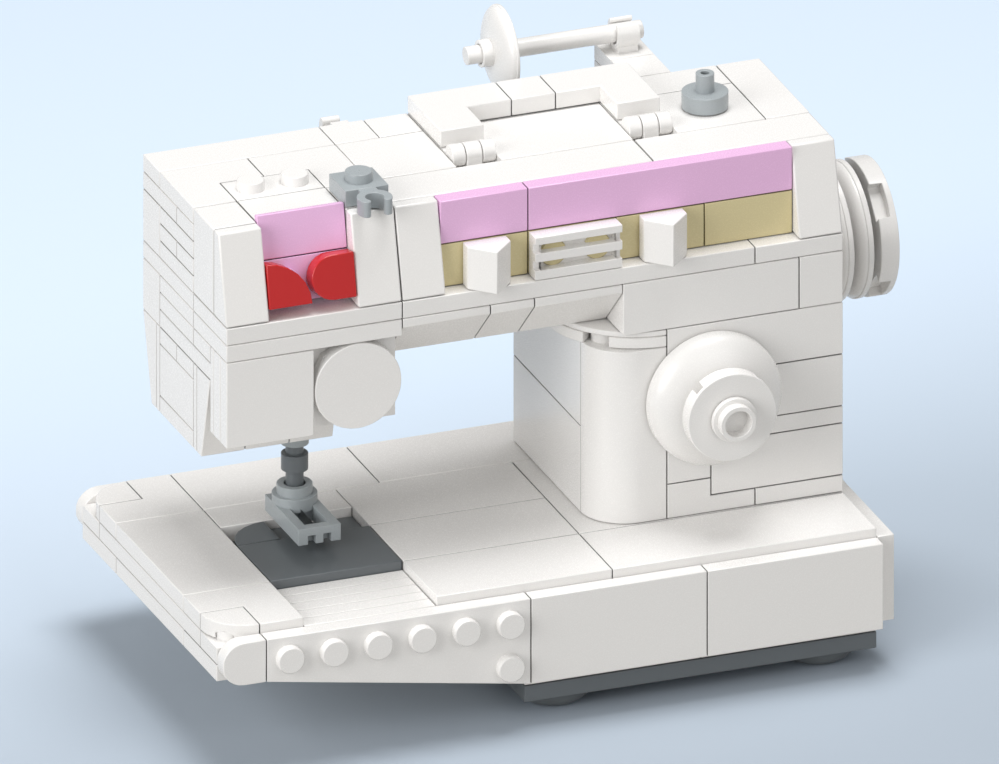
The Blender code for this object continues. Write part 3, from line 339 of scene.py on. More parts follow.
class Graph:
    """A node tree that is written as calls."""

    def __init__(self, tree):
        self.tree = tree

    def node(self, kind, settings=None, values=None, output=0):
        """Add a node: its settings first, then the values or links of its sockets."""
        made = self.tree.nodes.new(kind)
        for name, value in (settings or {}).items():
            setattr(made, name, value)
        for name, value in (values or {}).items():
            self.feed(made.inputs[name], value)
        return Wire(self, made.outputs[output])

    def mixed(self, factor, one, other):
        """Mix two colours."""
        return self.node("ShaderNodeMix", {"data_type": "RGBA"}, {0: factor, 6: one, 7: other}, 2)

    def feed(self, socket, value):
        if isinstance(value, Wire):
            self.tree.links.new(value.socket, socket)
        else:
            socket.default_value = value


def moulded_plastic(name, colour, gloss):
    """Glossy moulded plastic: a faint drift of colour, a soft haze, and painted shade on the walls
    in the seams.
    """
    material = bpy.data.materials.new(name)
    material.use_nodes = True
    graph = Graph(material.node_tree)
    shader = material.node_tree.nodes["Principled BSDF"].inputs
    place = graph.node("ShaderNodeTexCoord", output="Object")

    def noise(scale, detail):
        values = {"Vector": place, "Scale": scale, "Detail": detail}
        return graph.node("ShaderNodeTexNoise", values=values)

    drift = noise(DRIFT_SCALE, 0)
    haze = noise(HAZE_SCALE, 0)
    ripple = noise(RIPPLE_SCALE, 1)
    darker = (*((1 - DRIFT) * value for value in colour), 1)
    lighter = (*(min(1, (1 + DRIFT) * value) for value in colour), 1)
    # Painted shade: the seam attribute mixes the colour towards this darker copy on walls and
    # edges in the seams between bricks.
    shade = (*(SEAM_PAINTED_SHADE * value for value in colour), 1)
    seam = graph.node("ShaderNodeAttribute", {"attribute_name": "seam"}, output="Fac")
    even = graph.mixed(drift, darker, lighter)
    graph.feed(shader["Base Color"], graph.mixed(seam, even, shade))
    graph.feed(shader["Roughness"], haze * HAZE + (gloss - HAZE / 2))
    relief = graph.node("ShaderNodeBump", values={"Strength": RIPPLE_STRENGTH, "Distance": RIPPLE,
                                                  "Height": ripple})
    graph.feed(shader["Normal"], relief)
    shader["IOR"].default_value = PLASTIC_IOR
    material.diffuse_color = (*colour, 1)
    return material


FINISHES = {f"{name}_plastic": moulded_plastic(f"{name}_moulded_plastic", *look)
            for name, look in PLASTICS.items()}
SLOTS = {part["node"]: part["material_slot"] for part in frame["record"]["subparts"]}
BODIES = {node: body for body, nodes in frame["record"]["behaviour"]["bodies"].items()
          for node in nodes}


def block(low, high):
    """A plain block between two opposite corners."""
    low, high = Vector(low), Vector(high)
    shape = bmesh.new()
    scale = Matrix.Diagonal((*(high - low), 1))
    bmesh.ops.create_cube(shape, size=1, matrix=Matrix.Translation((low + high) / 2) @ scale)
    return shape


def brick(columns, rows, layers):
    """A block on grid cells that leaves a real brick's clearance."""
    low = X(columns[0]) + GAP, Y(rows[0]) + GAP, Z(layers[0]) + GAP
    high = X(columns[1]) - GAP, Y(rows[1]) - GAP, Z(layers[1]) - GAP
    return block(low, high)


def turned(profile, steps=ROUND, ring=False):
    """A profile of (radius, height) points turned about the z axis."""
    shape = bmesh.new()
    loops = []
    for radius, height in profile:
        angles = [2 * math.pi * n / steps for n in range(steps if radius > WELD else 1)]
        loops.append([shape.verts.new((radius * math.cos(a), radius * math.sin(a), height))
                      for a in angles])
    for one, other in zip(loops, loops[1:] + (loops[:1] if ring else [])):
        for n in range(steps):
            corners = [loop[m % len(loop)] for loop, m in
                       ((one, n), (one, n + 1), (other, n + 1), (other, n))]
            corners = list(dict.fromkeys(corners))
            if len(corners) > 2:
                shape.faces.new(corners)
    bmesh.ops.recalc_face_normals(shape, faces=shape.faces)
    bmesh.ops.dissolve_limit(shape, angle_limit=FLAT, verts=shape.verts, edges=shape.edges)
    return shape


def rod(radius, low, high, steps=SMALL):
    return turned([(0, high), (radius, high), (radius, low), (0, low)], steps)


def prism(points, low, high):
    """A flat outline made solid between two heights."""
    shape = bmesh.new()
    base = shape.faces.new([shape.verts.new((x, y, low)) for x, y in points])
    raised = bmesh.ops.extrude_face_region(shape, geom=[base])["geom"]
    corners = [item for item in raised if isinstance(item, bmesh.types.BMVert)]
    bmesh.ops.translate(shape, verts=corners, vec=(0, 0, high - low))
    bmesh.ops.recalc_face_normals(shape, faces=shape.faces)
    return shape


def arc(x, y, radius, start, end, steps=ARC):
    """Points along an arc, with its angles in degrees."""
    angles = [math.radians(start + (end - start) * n / steps) for n in range(steps + 1)]
    return [(x + radius * math.cos(a), y + radius * math.sin(a)) for a in angles]


def dome(radius, low, rise):
    """Points of an elliptic dome from its crown down to its edge, without the crown."""
    angles = [math.pi / 2 * n / DOME for n in range(1, DOME + 1)]
    return [(radius * math.sin(a), low + rise * math.cos(a)) for a in angles]


def rimmed_dome(radius, low, rise):
    """A dome whose edge stands on a narrow flat ledge."""
    return dome(radius - DISH_LEDGE, low, rise) + [(radius, low)]


def dish_profile(radius, edge, rise, skin, boss_low, bore_r, ledge=True):
    """A domed dish with a round boss inside and a bore right through."""
    inner_radius = radius - skin
    inner_crown = [point for point in reversed(dome(inner_radius, edge, rise - skin))
                   if point[0] > BOSS_R]
    share = BOSS_R / inner_radius
    boss_top = edge + (rise - skin) * math.sqrt(1 - share * share)
    crown = rimmed_dome(radius, edge, rise) if ledge else dome(radius, edge, rise)
    outer = [point for point in crown if point[0] > bore_r]
    profile = [(bore_r, edge + rise)] + outer + [(radius, 0), (inner_radius, 0)] + inner_crown
    return profile + [(BOSS_R, boss_top), (BOSS_R, boss_low), (bore_r, boss_low)]


def placed(shape, place):
    shape.transform(place)
    return shape


def together(*shapes):
    """Several shapes as one, each still a solid of its own."""
    whole = bmesh.new()
    for shape in shapes:
        mesh = mesh_of(shape, "shape")
        whole.from_mesh(mesh)
        bpy.data.meshes.remove(mesh)
    return whole


def carved(body, joins=(), cuts=()):
    """A body with shapes joined on and others cut out."""
    base = shown("blank", mesh_of(body, "blank"))
    tools = []
    for operation, shapes in (("UNION", joins), ("DIFFERENCE", cuts)):
        for shape in shapes:
            tools.append(shown("blank", mesh_of(shape, "blank")))
            modifier = base.modifiers.new("carve", "BOOLEAN")
            modifier.operation = operation
            modifier.solver = "EXACT"
            modifier.object = tools[-1]
    graph = bpy.context.evaluated_depsgraph_get()
    mesh = bpy.data.meshes.new_from_object(base.evaluated_get(graph))
    shape = bmesh.new()
    shape.from_mesh(mesh)
    bpy.data.meshes.remove(mesh)
    for item in (base, *tools):
        bpy.data.meshes.remove(item.data)
    bmesh.ops.remove_doubles(shape, verts=shape.verts, dist=WELD)
    bmesh.ops.dissolve_limit(shape, angle_limit=FLAT, verts=shape.verts, edges=shape.edges)
    return shape


def softened(shape, width):
    """Round the outer edges, keep flat faces flat and shade the curves smooth."""
    shape.normal_update()
    for edge in shape.edges:
        edge.smooth = edge.calc_face_angle(0) < CREASE
    for face in shape.faces:
        face.smooth = any(FLAT < edge.calc_face_angle(0) < CREASE for edge in face.edges)
    outer = [edge for edge in shape.edges
             if edge.is_manifold and edge.is_convex and not edge.smooth]
    rounded = bmesh.ops.bevel(shape, geom=outer, offset=width, segments=2, profile=0.5,
                              affect="EDGES", clamp_overlap=False)
    curved = set(rounded["faces"])
    for face in curved:
        face.smooth = True
    # Painted shade on the rounded edges beside walls in the seams, a little less dark than the
    # walls.
    seam = shape.faces.layers.float.get("seam")
    if seam:
        for face in curved:
            beside = {other for edge in face.edges for other in edge.link_faces} - curved
            face[seam] = SEAM_EDGE_PAINTED_SHADE * any(other[seam] == 1 for other in beside)
    return shape


def solid_walls():
    """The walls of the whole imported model, to find what stands close by."""
    corners, faces = [], []
    for item in frame["nodes"].values():
        first = len(corners)
        corners += [corner.co.copy() for corner in item.data.vertices]
        faces += [[first + n for n in face.vertices] for face in item.data.polygons]
    return BVHTree.FromPolygons(corners, faces)


def paint_seam_shade(shape, walls):
    """Mark each wall that faces a neighbour across a seam nearly all over, for painted shade
    there.
    """
    seam = shape.faces.layers.float.new("seam")
    for face in shape.faces:
        centre = face.calc_center_median()
        points = [corner.co.lerp(centre, share) for corner in face.verts
                  for share in SEAM_PROBES]
        starts = [point + face.normal * GROWTH for point in points]
        met = [start for start in starts if walls.ray_cast(start, face.normal, SEAM_REACH)[0]]
        face[seam] = float(len(met) > SEAM_SHARE * len(starts))


def crosses_seam(face):
    """Whether a face runs straight across a seam, as the sides of a hidden pin do."""
    for axis in range(3):
        values = [corner.co[axis] for corner in face.verts]
        across = max(values) - min(values)
        if abs(across - SEAM) < WELD and abs(face.normal[axis]) < SQUARE:
            return True
    return False


def bricks_of(node, unwanted):
    """The bricks of a CAD node, freed of their pins, welded and widened into their seams."""
    shape = bmesh.new()
    shape.from_mesh(frame["nodes"][node].data)
    bmesh.ops.remove_doubles(shape, verts=shape.verts, dist=WELD)
    shape.normal_update()
    dropped = [face for face in shape.faces
               if crosses_seam(face) or all(unwanted(corner.co) for corner in face.verts)]
    bmesh.ops.delete(shape, geom=dropped, context="FACES")
    rims = [edge for edge in shape.edges if edge.is_boundary]
    bmesh.ops.holes_fill(shape, edges=rims)
    bmesh.ops.recalc_face_normals(shape, faces=shape.faces)
    bmesh.ops.dissolve_limit(shape, angle_limit=FLAT, verts=shape.verts, edges=shape.edges)
    shape.normal_update()
    moves = [(corner, corner.normal * corner.calc_shell_factor() * GROWTH)
             for corner in shape.verts]
    for corner, move in moves:
        limits = zip(corner.co + move, *cad_box)
        corner.co = Vector(min(max(value, low), high) for value, low, high in limits)
    return shape


def dress(name, shape, slot, body, *nodes):
    """Show a finished shape on a body, in place of CAD nodes where they are named."""
    mesh = mesh_of(shape, name)
    mesh.materials.append(FINISHES[slot])
    piece = shown(name, mesh)
    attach(piece, body)
    if nodes:
        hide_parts(*nodes)


def stud_graph():
    """Studs on points: each looks along its point's own direction."""
    tree = bpy.data.node_groups.new("studs", "GeometryNodeTree")
    ports = tree.interface
    ports.new_socket("Geometry", in_out="INPUT", socket_type="NodeSocketGeometry")
    for name, value in (("Radius", STUD_R), ("Height", STUD_H), ("Edge", STUD_EDGE)):
        port = ports.new_socket(name, in_out="INPUT", socket_type="NodeSocketFloat")
        port.default_value = value
    port = ports.new_socket("Sides", in_out="INPUT", socket_type="NodeSocketInt")
    port.default_value = SMALL
    ports.new_socket("Finish", in_out="INPUT", socket_type="NodeSocketMaterial")
    ports.new_socket("Geometry", in_out="OUTPUT", socket_type="NodeSocketGeometry")
    graph = Graph(tree)
    given = tree.nodes.new("NodeGroupInput")
    radius, height, edge, sides, finish = (Wire(graph, given.outputs[name]) for name in
                                           ("Radius", "Height", "Edge", "Sides", "Finish"))

    def frustum(base, low_radius, top_radius, depth, fill):
        made = graph.node("GeometryNodeMeshCone", {"fill_type": fill},
                          {"Vertices": sides, "Radius Top": top_radius,
                           "Radius Bottom": low_radius, "Depth": depth})
        cone = made.socket.node
        mesh = graph.node("GeometryNodeSetShadeSmooth", {"domain": "FACE"},
                          {"Geometry": made, "Selection": Wire(graph, cone.outputs["Side"])})
        lift = graph.node("ShaderNodeCombineXYZ", values={"Z": base})
        return graph.node("GeometryNodeTransform", values={"Geometry": mesh, "Translation": lift})

    wall = frustum(0.0, radius, radius, height - edge, "NONE")
    turn_radius, upper = radius - edge * STUD_TURN, edge * STUD_TURN
    curve = frustum(height - edge, radius, turn_radius, edge * (1 - STUD_TURN), "NONE")
    crown = frustum(height - upper, turn_radius, radius - edge, upper, "NGON")
    stud = graph.node("GeometryNodeJoinGeometry")
    for part in (crown, curve, wall):
        graph.feed(stud.socket.node.inputs[0], part)
    stud = graph.node("GeometryNodeMergeByDistance",
                      values={"Geometry": stud, "Distance": WELD / 2})
    direction = graph.node("GeometryNodeInputNamedAttribute", {"data_type": "FLOAT_VECTOR"},
                           {"Name": "direction"})
    turn = graph.node("FunctionNodeAlignRotationToVector", {"axis": "Z"}, {"Vector": direction})
    spread = graph.node("GeometryNodeInstanceOnPoints",
                        values={"Points": Wire(graph, given.outputs["Geometry"]),
                                "Instance": stud, "Rotation": turn})
    solid = graph.node("GeometryNodeRealizeInstances", values={"Geometry": spread})
    coloured = graph.node("GeometryNodeSetMaterial",
                          values={"Geometry": solid, "Material": finish})
    result = tree.nodes.new("NodeGroupOutput")
    graph.feed(result.inputs[0], coloured)
    return tree


def set_studs(name, places, slot, body, tree):
    """Bare studs at frames, as one plain mesh that rides on a body."""
    points = bpy.data.meshes.new(f"{name}_places")
    points.from_pydata([place.translation for place in places], [], [])
    direction = points.attributes.new("direction", "FLOAT_VECTOR", "POINT")
    for value, place in zip(direction.data, places):
        value.vector = place.to_3x3() @ Vector((0, 0, 1))
    holder = shown(f"{name}_places", points)
    modifier = holder.modifiers.new("studs", "NODES")
    modifier.node_group = tree
    inputs = {item.name: item.identifier for item in tree.interface.items_tree
              if item.in_out == "INPUT"}
    modifier[inputs["Finish"]] = FINISHES[slot]
    graph = bpy.context.evaluated_depsgraph_get()
    mesh = bpy.data.meshes.new_from_object(holder.evaluated_get(graph))
    mesh.name = name
    bpy.data.objects.remove(holder)
    piece = shown(name, mesh)
    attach(piece, body)


def within_stud(places):
    """A test whether a point of a mesh lies on one of the studs at these frames."""
    radius = STUD_R + 2 * WELD
    inverses = [place.inverted() for place in places]

    def test(point):
        for inverse in inverses:
            local = inverse @ point
            if math.hypot(local.x, local.y) < radius and -WELD < local.z < 2 * STUD_H:
                return True
        return False

    return test


def notched_disc(radius, thickness, notch_width, hole_r, hole_depth):
    """A thick disc with four notches in the rim of its rear side and a blind hole behind."""
    half = math.degrees(math.asin(notch_width / 2 / radius))
    floor = math.hypot(radius - NOTCH_DEPTH, notch_width / 2)
    lean = math.degrees(math.atan2(notch_width / 2, radius - NOTCH_DEPTH))
    shape = bmesh.new()

    def ring(points, height):
        return [shape.verts.new((*point, height)) for point in points]

    heights = (0, NOTCH_SHARE, thickness)
    rear, front = [], []
    for quarter in range(4):
        middle = 45 + 90 * quarter
        ends = [arc(0, 0, floor, middle + side * lean, middle, 1)[0] for side in (-1, 1)]
        notch = arc(0, 0, radius, middle - half, middle + half, 4)
        rim = arc(0, 0, radius, middle + half, middle + 90 - half, ARC)
        (low_in, low_out), (mid_in, mid_out) = (ring(ends, height) for height in heights[:2])
        mid_notch, top_notch = (ring(notch, height) for height in heights[1:])
        low_rim, mid_rim, top_rim = (ring(rim, height) for height in heights)
        low_start = shape.verts.new((*notch[0], 0))
        shape.faces.new([mid_in, *mid_notch, mid_out])
        shape.faces.new([low_start, mid_notch[0], mid_in, low_in])
        shape.faces.new([low_in, mid_in, mid_out, low_out])
        shape.faces.new([low_out, mid_out, mid_notch[-1], low_rim[0]])
        for one, other in ((mid_notch, top_notch), (low_rim, mid_rim), (mid_rim, top_rim)):
            for n in range(len(one) - 1):
                shape.faces.new([one[n], one[n + 1], other[n + 1], other[n]])
        rear += [low_in, low_out, *low_rim[:-1]]
        front += [*top_notch[:-1], *top_rim[:-1]]
        rear.insert(len(rear) - len(low_rim) - 1, low_start)
    shape.faces.new(rear)
    shape.faces.new(front)
    bmesh.ops.remove_doubles(shape, verts=shape.verts, dist=WELD)
    bmesh.ops.recalc_face_normals(shape, faces=shape.faces)
    return carved(shape, cuts=[rod(hole_r, -thickness, hole_depth)])


def spring_clip(radius, bore, width, mouth):
    """A C-shaped clip about the z axis with round ends, open towards an angle in degrees."""
    wall = (radius - bore) / 2
    middle = bore + wall
    half = math.degrees(math.asin((CLIP_MOUTH / 2 + wall) / middle))
    start, end = mouth + half, mouth + 360 - half
    far_x, far_y = arc(0, 0, middle, end, end, 1)[0]
    near_x, near_y = arc(0, 0, middle, start, start, 1)[0]
    points = arc(0, 0, radius, start, end, 2 * ARC)
    points += arc(far_x, far_y, wall, end, end + 180, ARC // 2)[1:-1]
    points += arc(0, 0, bore, end, start, 2 * ARC)
    points += arc(near_x, near_y, wall, start + 180, start + 360, ARC // 2)[1:-1]
    return prism(points, -width / 2, width / 2)


def dial_dish():
    profile = dish_profile(DIAL_R, DIAL_EDGE - SEAM, DIAL_RISE, DIAL_SKIN, 0, STUD_R + SEAM, False)
    return placed(turned(profile, ring=True), along(DIAL_FRAME, SEAM))


def dial_disc():
    low = DIAL_EDGE + DIAL_RISE + SEAM
    disc = notched_disc(DIAL_DISC_R, DIAL_DISC_T, DIAL_NOTCH, STUD_R + SEAM, ROOF)
    return placed(disc, along(DIAL_FRAME, low))


def dial_hub():
    flange = DIAL_EDGE + DIAL_RISE + SEAM + DIAL_DISC_T + SEAM
    step = flange + HUB_FLANGE_T
    floor, top = flange + HUB_FLOOR, step + HUB_LENGTH
    profile = [(0, floor), (HUB_BORE_R, floor), (HUB_BORE_R, top), (HUB_R, top), (HUB_R, step),
               (HUB_FLANGE_R, step), (HUB_FLANGE_R, flange), (0, flange)]
    return placed(turned(profile, SMALL), DIAL_FRAME)


def wheel_dish(rim):
    away = WHEEL_FRAME @ Matrix.Rotation(math.pi, 4, "X")
    open_side = rim + WHEEL_RIM
    boss = open_side - (rim - WHEEL_RISE + WHEEL_STEP - SEAM)
    profile = dish_profile(WHEEL_R, WHEEL_RIM, WHEEL_RISE, WHEEL_RIM, boss, AXLE_R + EASE)
    return placed(turned(profile, ring=True), along(away, -open_side))


def wheel_inner_face():
    return WHEEL_GAP + WHEEL_STEP + WHEEL_RIM + WHEEL_DISC_GAP


def wheel_outer_disc():
    disc = notched_disc(WHEEL_R, WHEEL_DISC_T, WHEEL_NOTCH, AXLE_R + EASE, 2 * ROOF)
    return placed(disc, along(WHEEL_FRAME, wheel_inner_face()))


def wheel_axle():
    return placed(rod(AXLE_R, -AXLE_BEARING, wheel_inner_face() + 2 * ROOF - SEAM), WHEEL_FRAME)


def spool_bar():
    start, end = X(9) - SPOOL_BAR_LEFT, X(13) - SPOOL_BAR_RIGHT
    return placed(rod(BAR_R, start, end), SPOOL_FRAME)


def spool_dish():
    edge = X(10) - SPOOL_RIM_IN
    bore = BAR_R + EASE
    crown = SPOOL_RIM + SPOOL_RISE
    outer = [point for point in rimmed_dome(SPOOL_R, SPOOL_RIM, SPOOL_RISE) if point[0] > STUD_R]
    inner = dome(SPOOL_R - ROOF, 0, SPOOL_RISE - ROOF / 2)
    profile = [(bore, crown + STUD_H), (STUD_R, crown + STUD_H), (STUD_R, crown - ROOF / 4)]
    profile += outer + [(SPOOL_R, 0)] + [point for point in reversed(inner) if point[0] > STUD_R]
    profile += [(STUD_R, SPOOL_RISE - ROOF / 2), (bore, SPOOL_RISE - ROOF / 2)]
    left = facing("LEFT", edge, Y(SPOOL_ROW), Z(28) + SPOOL_LIFT)
    return placed(turned(profile, ring=True), left)


def spool_bracket():
    half = SPOOL_CLIP_W / 2 - EASE
    web = block((-SPOOL_WEB_HALF, -SPOOL_LIFT - ROOF, -half),
                (SPOOL_WEB_HALF, -BAR_R - SEAM, half))
    clip = spring_clip(SPOOL_CLIP_R, BAR_R + SEAM, SPOOL_CLIP_W, 90)
    ring = along(SPOOL_FRAME, X(12.5))
    return together(brick((12, 13), (6, 9), (26, 27)), brick((12, 13), (7, 8), (27, 28)),
                    brick((12, 13), (8, 9), (27, 28)), placed(clip, ring), placed(web, ring))


def rear_thread_clip():
    clip = spring_clip(CLIP_R, BAR_R, PLATE, 90)
    ring = facing("RIGHT", X(5.5), Y(7) + EASE + CLIP_R, Z(28) - CLIP_R)
    neck = block((X(5.5) - PLATE / 2, Y(7) - ROOF, Z(27) + SEAM),
                 (X(5.5) + PLATE / 2, Y(7) + ROOF, Z(28) - EASE))
    return together(carved(brick((5, 6), (6, 7), (27, 28)), joins=[neck]), placed(clip, ring))


def thread_guide():
    plate = block((GAP, GAP, GAP), (PITCH - GAP, PITCH - GAP, PLATE - GAP))
    neck = block((X(4.5) - BAR_R, FACE_Y - CLIP_NECK - ROOF, Z(28) + EASE),
                 (X(4.5) + BAR_R, FACE_Y + ROOF, Z(29) - EASE))
    clip = spring_clip(CLIP_R, BAR_R, PLATE - SEAM, -90)
    ring = facing("UP", X(4.5), FACE_Y - CLIP_NECK - CLIP_R, Z(28.5))
    return carved(placed(plate, facing("UP", X(4), FACE_Y, Z(28))),
                  joins=[neck, placed(clip, ring)])


def bobbin_winder():
    top = PLATE + BOBBIN_PIN_H
    profile = [(0, PLATE), (BOBBIN_BORE_R, PLATE), (BOBBIN_BORE_R, top), (BAR_R, top),
               (BAR_R, PLATE - EASE), (BOBBIN_R, PLATE - EASE), (BOBBIN_R, EASE), (0, EASE)]
    return placed(turned(profile, SMALL), facing("UP", X(13), Y(5), Z(28)))


def needle_collar():
    bore = NEEDLE_R + EASE + EASE / 2
    profile = [(bore, -EASE), (COLLAR_R, -EASE), (COLLAR_R, -COLLAR_T), (bore, -COLLAR_T)]
    return placed(turned(profile, SMALL, ring=True), along(NEEDLE_FRAME, Z(14)))


def needle_bar():
    top, bottom = Z(14) + NEEDLE_TOP, Z(8) + NEEDLE_TIP
    sleeve = Z(14) - SLEEVE_DROP
    profile = [(0, top), (NEEDLE_R, top), (NEEDLE_R, sleeve), (SLEEVE_R, sleeve),
               (SLEEVE_R, sleeve - SLEEVE_T), (NEEDLE_R, sleeve - SLEEVE_T), (NEEDLE_R, bottom),
               (0, bottom)]
    return placed(turned(profile, SMALL), NEEDLE_FRAME)


def presser_foot():
    bed = Z(8)
    rim = bed + RING_TOP
    flange = rim - RING_T
    floor = flange - RING_FLANGE_T + SEAM
    profile = [(0, floor), (NEEDLE_R + SEAM, floor), (NEEDLE_R + SEAM, rim), (RING_R, rim),
               (RING_R, flange), (RING_FLANGE_R, flange), (RING_FLANGE_R, bed + FOOT_TOP - ROOF),
               (0, bed + FOOT_TOP - ROOF)]
    ring = placed(turned(profile, SMALL), NEEDLE_FRAME)
    sole, deck = bed + FOOT_TOP - FOOT_T, bed + FOOT_TOP - EASE
    near, far = Y(3), Y(5)
    body = block((X(3) + EASE, near, sole), (X(4) - EASE, far, deck))
    middle, start = X(3.5), near + FOOT_BACK
    end = start + FOOT_WINDOW_LENGTH
    spans = [(-FOOT_WINDOW / 2, -FOOT_RIB / 2, sole - PLATE),
             (FOOT_RIB / 2, FOOT_WINDOW / 2, sole - PLATE),
             (-FOOT_RIB / 2, FOOT_RIB / 2, deck - FOOT_T / 2)]
    cuts = [block((middle + left, start, low), (middle + right, end, deck + PLATE))
            for left, right, low in spans]
    half = FOOT_NOTCH / 2
    for side in (-1, 1):
        notch = middle + side * (FOOT_WINDOW + FOOT_NOTCH) / 4
        cuts.append(block((notch - half, near - PLATE, sole - PLATE),
                          (notch + half, near + FOOT_BACK - FOOT_SKIN, sole + FOOT_T / 2)))
    return together(carved(body, cuts=cuts), ring)


def head_round_tile():
    front = facing("FRONT", X(4), Y(3) - PLATE / 2 - PLATE, Z(16) + PITCH)
    return placed(rod(PITCH - EASE, EASE, PLATE - EASE, ROUND), front)


def column_corner():
    """A pillar with a quarter-round outer corner."""
    near, left, right, far = Y(2) + GAP, X(11) - 4 * PLATE, X(11) - GAP, Y(3) - GAP
    points = [(right, near), (right, far), (left + GAP, far)]
    points += arc(left + PITCH, Y(3), PITCH - GAP, 180, 270)[1:]
    return prism(points, Z(8) + GAP, Z(18) - GAP)


def column_corner_tile():
    """A quarter ring in two bands, the lower one open above the pillar's stud."""
    x, y = X(11) - GAP, Y(4) - GAP
    middle = Z(18) + STUD_H + SEAM
    stud_way = 1.5 * PITCH

    def band(low, high, inset=0):
        points = arc(x, y, 2 * PITCH - 2 * GAP - inset, 180, 270, 2 * ARC)
        points += arc(x, y, PITCH + inset, 270, 180)
        return prism(points, low, high)

    turn = facing("UP", X(11), Y(4), Z(18)) @ Matrix.Rotation(math.radians(225), 4, "Z")
    mouth = block((stud_way, -STUD_R, -PLATE), (3 * PITCH, STUD_R, middle - Z(18)))
    stud_place = turn @ Matrix.Translation((stud_way, 0, 0))
    socket = placed(rod(STUD_R + SEAM, -PLATE, middle - Z(18)), stud_place)
    lower = carved(band(Z(18) + GAP, middle), cuts=[placed(mouth, turn), socket])
    core = band(middle, middle + 3 * GROOVE, GROOVE_DEPTH)
    return together(lower, core, band(middle + GROOVE, Z(19) - GAP))


def grille():
    """A vent tile with two open rows between three bars that stand proud of its ends."""
    outer = facing("FRONT", X(8), FACE_Y - PLATE, Z(23))
    wide, tall, top = 2 * PITCH - GAP, PITCH - GAP, PLATE - GAP
    wall = EASE + ROOF
    cuts = []
    for low in (EASE + GRILLE_BAR, EASE + 3 * GRILLE_BAR):
        high = low + GRILLE_BAR
        cuts.append(block((wall, low, PLATE / 3), (2 * PITCH - wall, high, 2 * PLATE)))
        for start, end in ((-PITCH, wall), (2 * PITCH - wall, 3 * PITCH)):
            cuts.append(block((start, low, top - GRILLE_STEP), (end, high, 2 * PLATE)))
    return placed(carved(block((GAP, GAP, GAP), (wide, tall, top)), cuts=cuts), outer)


MADE_ANEW = {
    "dial_dish": dial_dish,
    "dial_disc": dial_disc,
    "dial_hub": dial_hub,
    "wheel_dish_inner": lambda: wheel_dish(WHEEL_GAP),
    "wheel_dish_outer": lambda: wheel_dish(WHEEL_GAP + WHEEL_STEP),
    "wheel_outer_disc": wheel_outer_disc,
    "wheel_axle": wheel_axle,
    "spool_bar": spool_bar,
    "spool_dish": spool_dish,
    "spool_bracket": spool_bracket,
    "rear_thread_clip": rear_thread_clip,
    "thread_guide": thread_guide,
    "bobbin_winder": bobbin_winder,
    "needle_collar": needle_collar,
    "needle_bar": needle_bar,
    "presser_foot": presser_foot,
    "head_round_tile": head_round_tile,
    "column_corner": column_corner,
    "column_corner_tile": column_corner_tile,
    "grille": grille,
}
FINE_NODES = ("dial_hub", "grille", "presser_foot", "needle_bar", "needle_collar", "bobbin_winder",
              "thread_guide", "rear_thread_clip", "spool_bracket")
EDGES = {"arm_front_bricks": WIDE_EDGE, **dict.fromkeys(FINE_NODES, FINE_EDGE)}


def stud_places():
    """The frames of all studs that show, by the piece of the scene that they make."""
    half = PITCH / 2
    places = {}
    for side, column, row, deep_end in (("FRONT", 1, 0, 5.5), ("BACK", 7, 8, 0.5)):
        wedge = along(facing(side, X(column), Y(row), Z(2.5)), PLATE - EASE)
        cells = [(n + 0.5, 1.5) for n in range(6)] + [(deep_end, 0.5)]
        places[f"wedge_studs_{side.lower()}"] = [
            wedge @ Matrix.Translation((i * PITCH, j * PITCH, 0)) for i, j in cells]
    places["head_studs"] = [facing("UP", X(column), Y(4.5), Z(28) - EASE) for column in (2.5, 3.5)]
    places["corner_studs"] = [facing("UP", X(0.5), Y(row), Z(7) - EASE) for row in (0.5, 7.5)]
    places["tan_studs"] = [facing("FRONT", X(column), FACE_Y - PLATE + EASE, Z(23) + half)
                           for column in (8.5, 9.5)]
    places["thread_guide_stud"] = [facing("UP", X(4.5), FACE_Y + half, Z(29) - EASE)]
    out = 1.5 * PITCH * math.sqrt(0.5)
    places["pillar_stud"] = [facing("UP", X(11) - out, Y(4) - out, Z(18) - EASE)]
    return places


STUD_OWNERS = {
    "wedge_studs_front": "wedge_plate_front",
    "wedge_studs_back": "wedge_plate_back",
    "head_studs": "head_stud_plate",
    "corner_studs": "bed_plates",
    "tan_studs": "tan_row",
    "thread_guide_stud": "thread_guide",
    "pillar_stud": "column_corner",
}


def dress_nodes():
    """A visible piece for each node, and its studs."""
    tree = stud_graph()
    places = stud_places()
    unwanted = {}
    for name, owner in STUD_OWNERS.items():
        unwanted[owner] = within_stud(places[name])
        set_studs(name, places[name], SLOTS[owner], BODIES[owner], tree)
    unwanted["base_plate"] = lambda point: point.z < Z(1)
    walls = solid_walls()
    for node in frame["nodes"]:
        if node in MADE_ANEW:
            shape = MADE_ANEW[node]()
        else:
            shape = bricks_of(node, unwanted.get(node, lambda point: False))
            paint_seam_shade(shape, walls)
        rounded = softened(shape, EDGES.get(node, EDGE))
        dress(f"{node}_moulded", rounded, SLOTS[node], BODIES[node], node)


def dress_feet():
    """Four domed feet under the base plate."""
    edge = Z(1) - EASE - FOOT_EDGE
    swell = FOOT_RIM_R - FOOT_CROWN_R
    angles = [math.pi / 2 * n / FOOT_STEPS for n in range(1, FOOT_STEPS + 1)]
    crown = [(FOOT_CROWN_R + swell * math.cos(a), edge * (1 - math.sin(a))) for a in angles]
    profile = [(0, Z(1) - EASE), (FOOT_RIM_R, Z(1) - EASE), (FOOT_RIM_R, edge), *crown, (0, 0)]
    feet = [placed(turned(profile), facing("UP", X(column), Y(row), 0))
            for column in (8, 14) for row in (1, 7)]
    dress("domed_feet", softened(together(*feet), EDGE), SLOTS["base_plate"], "machine")


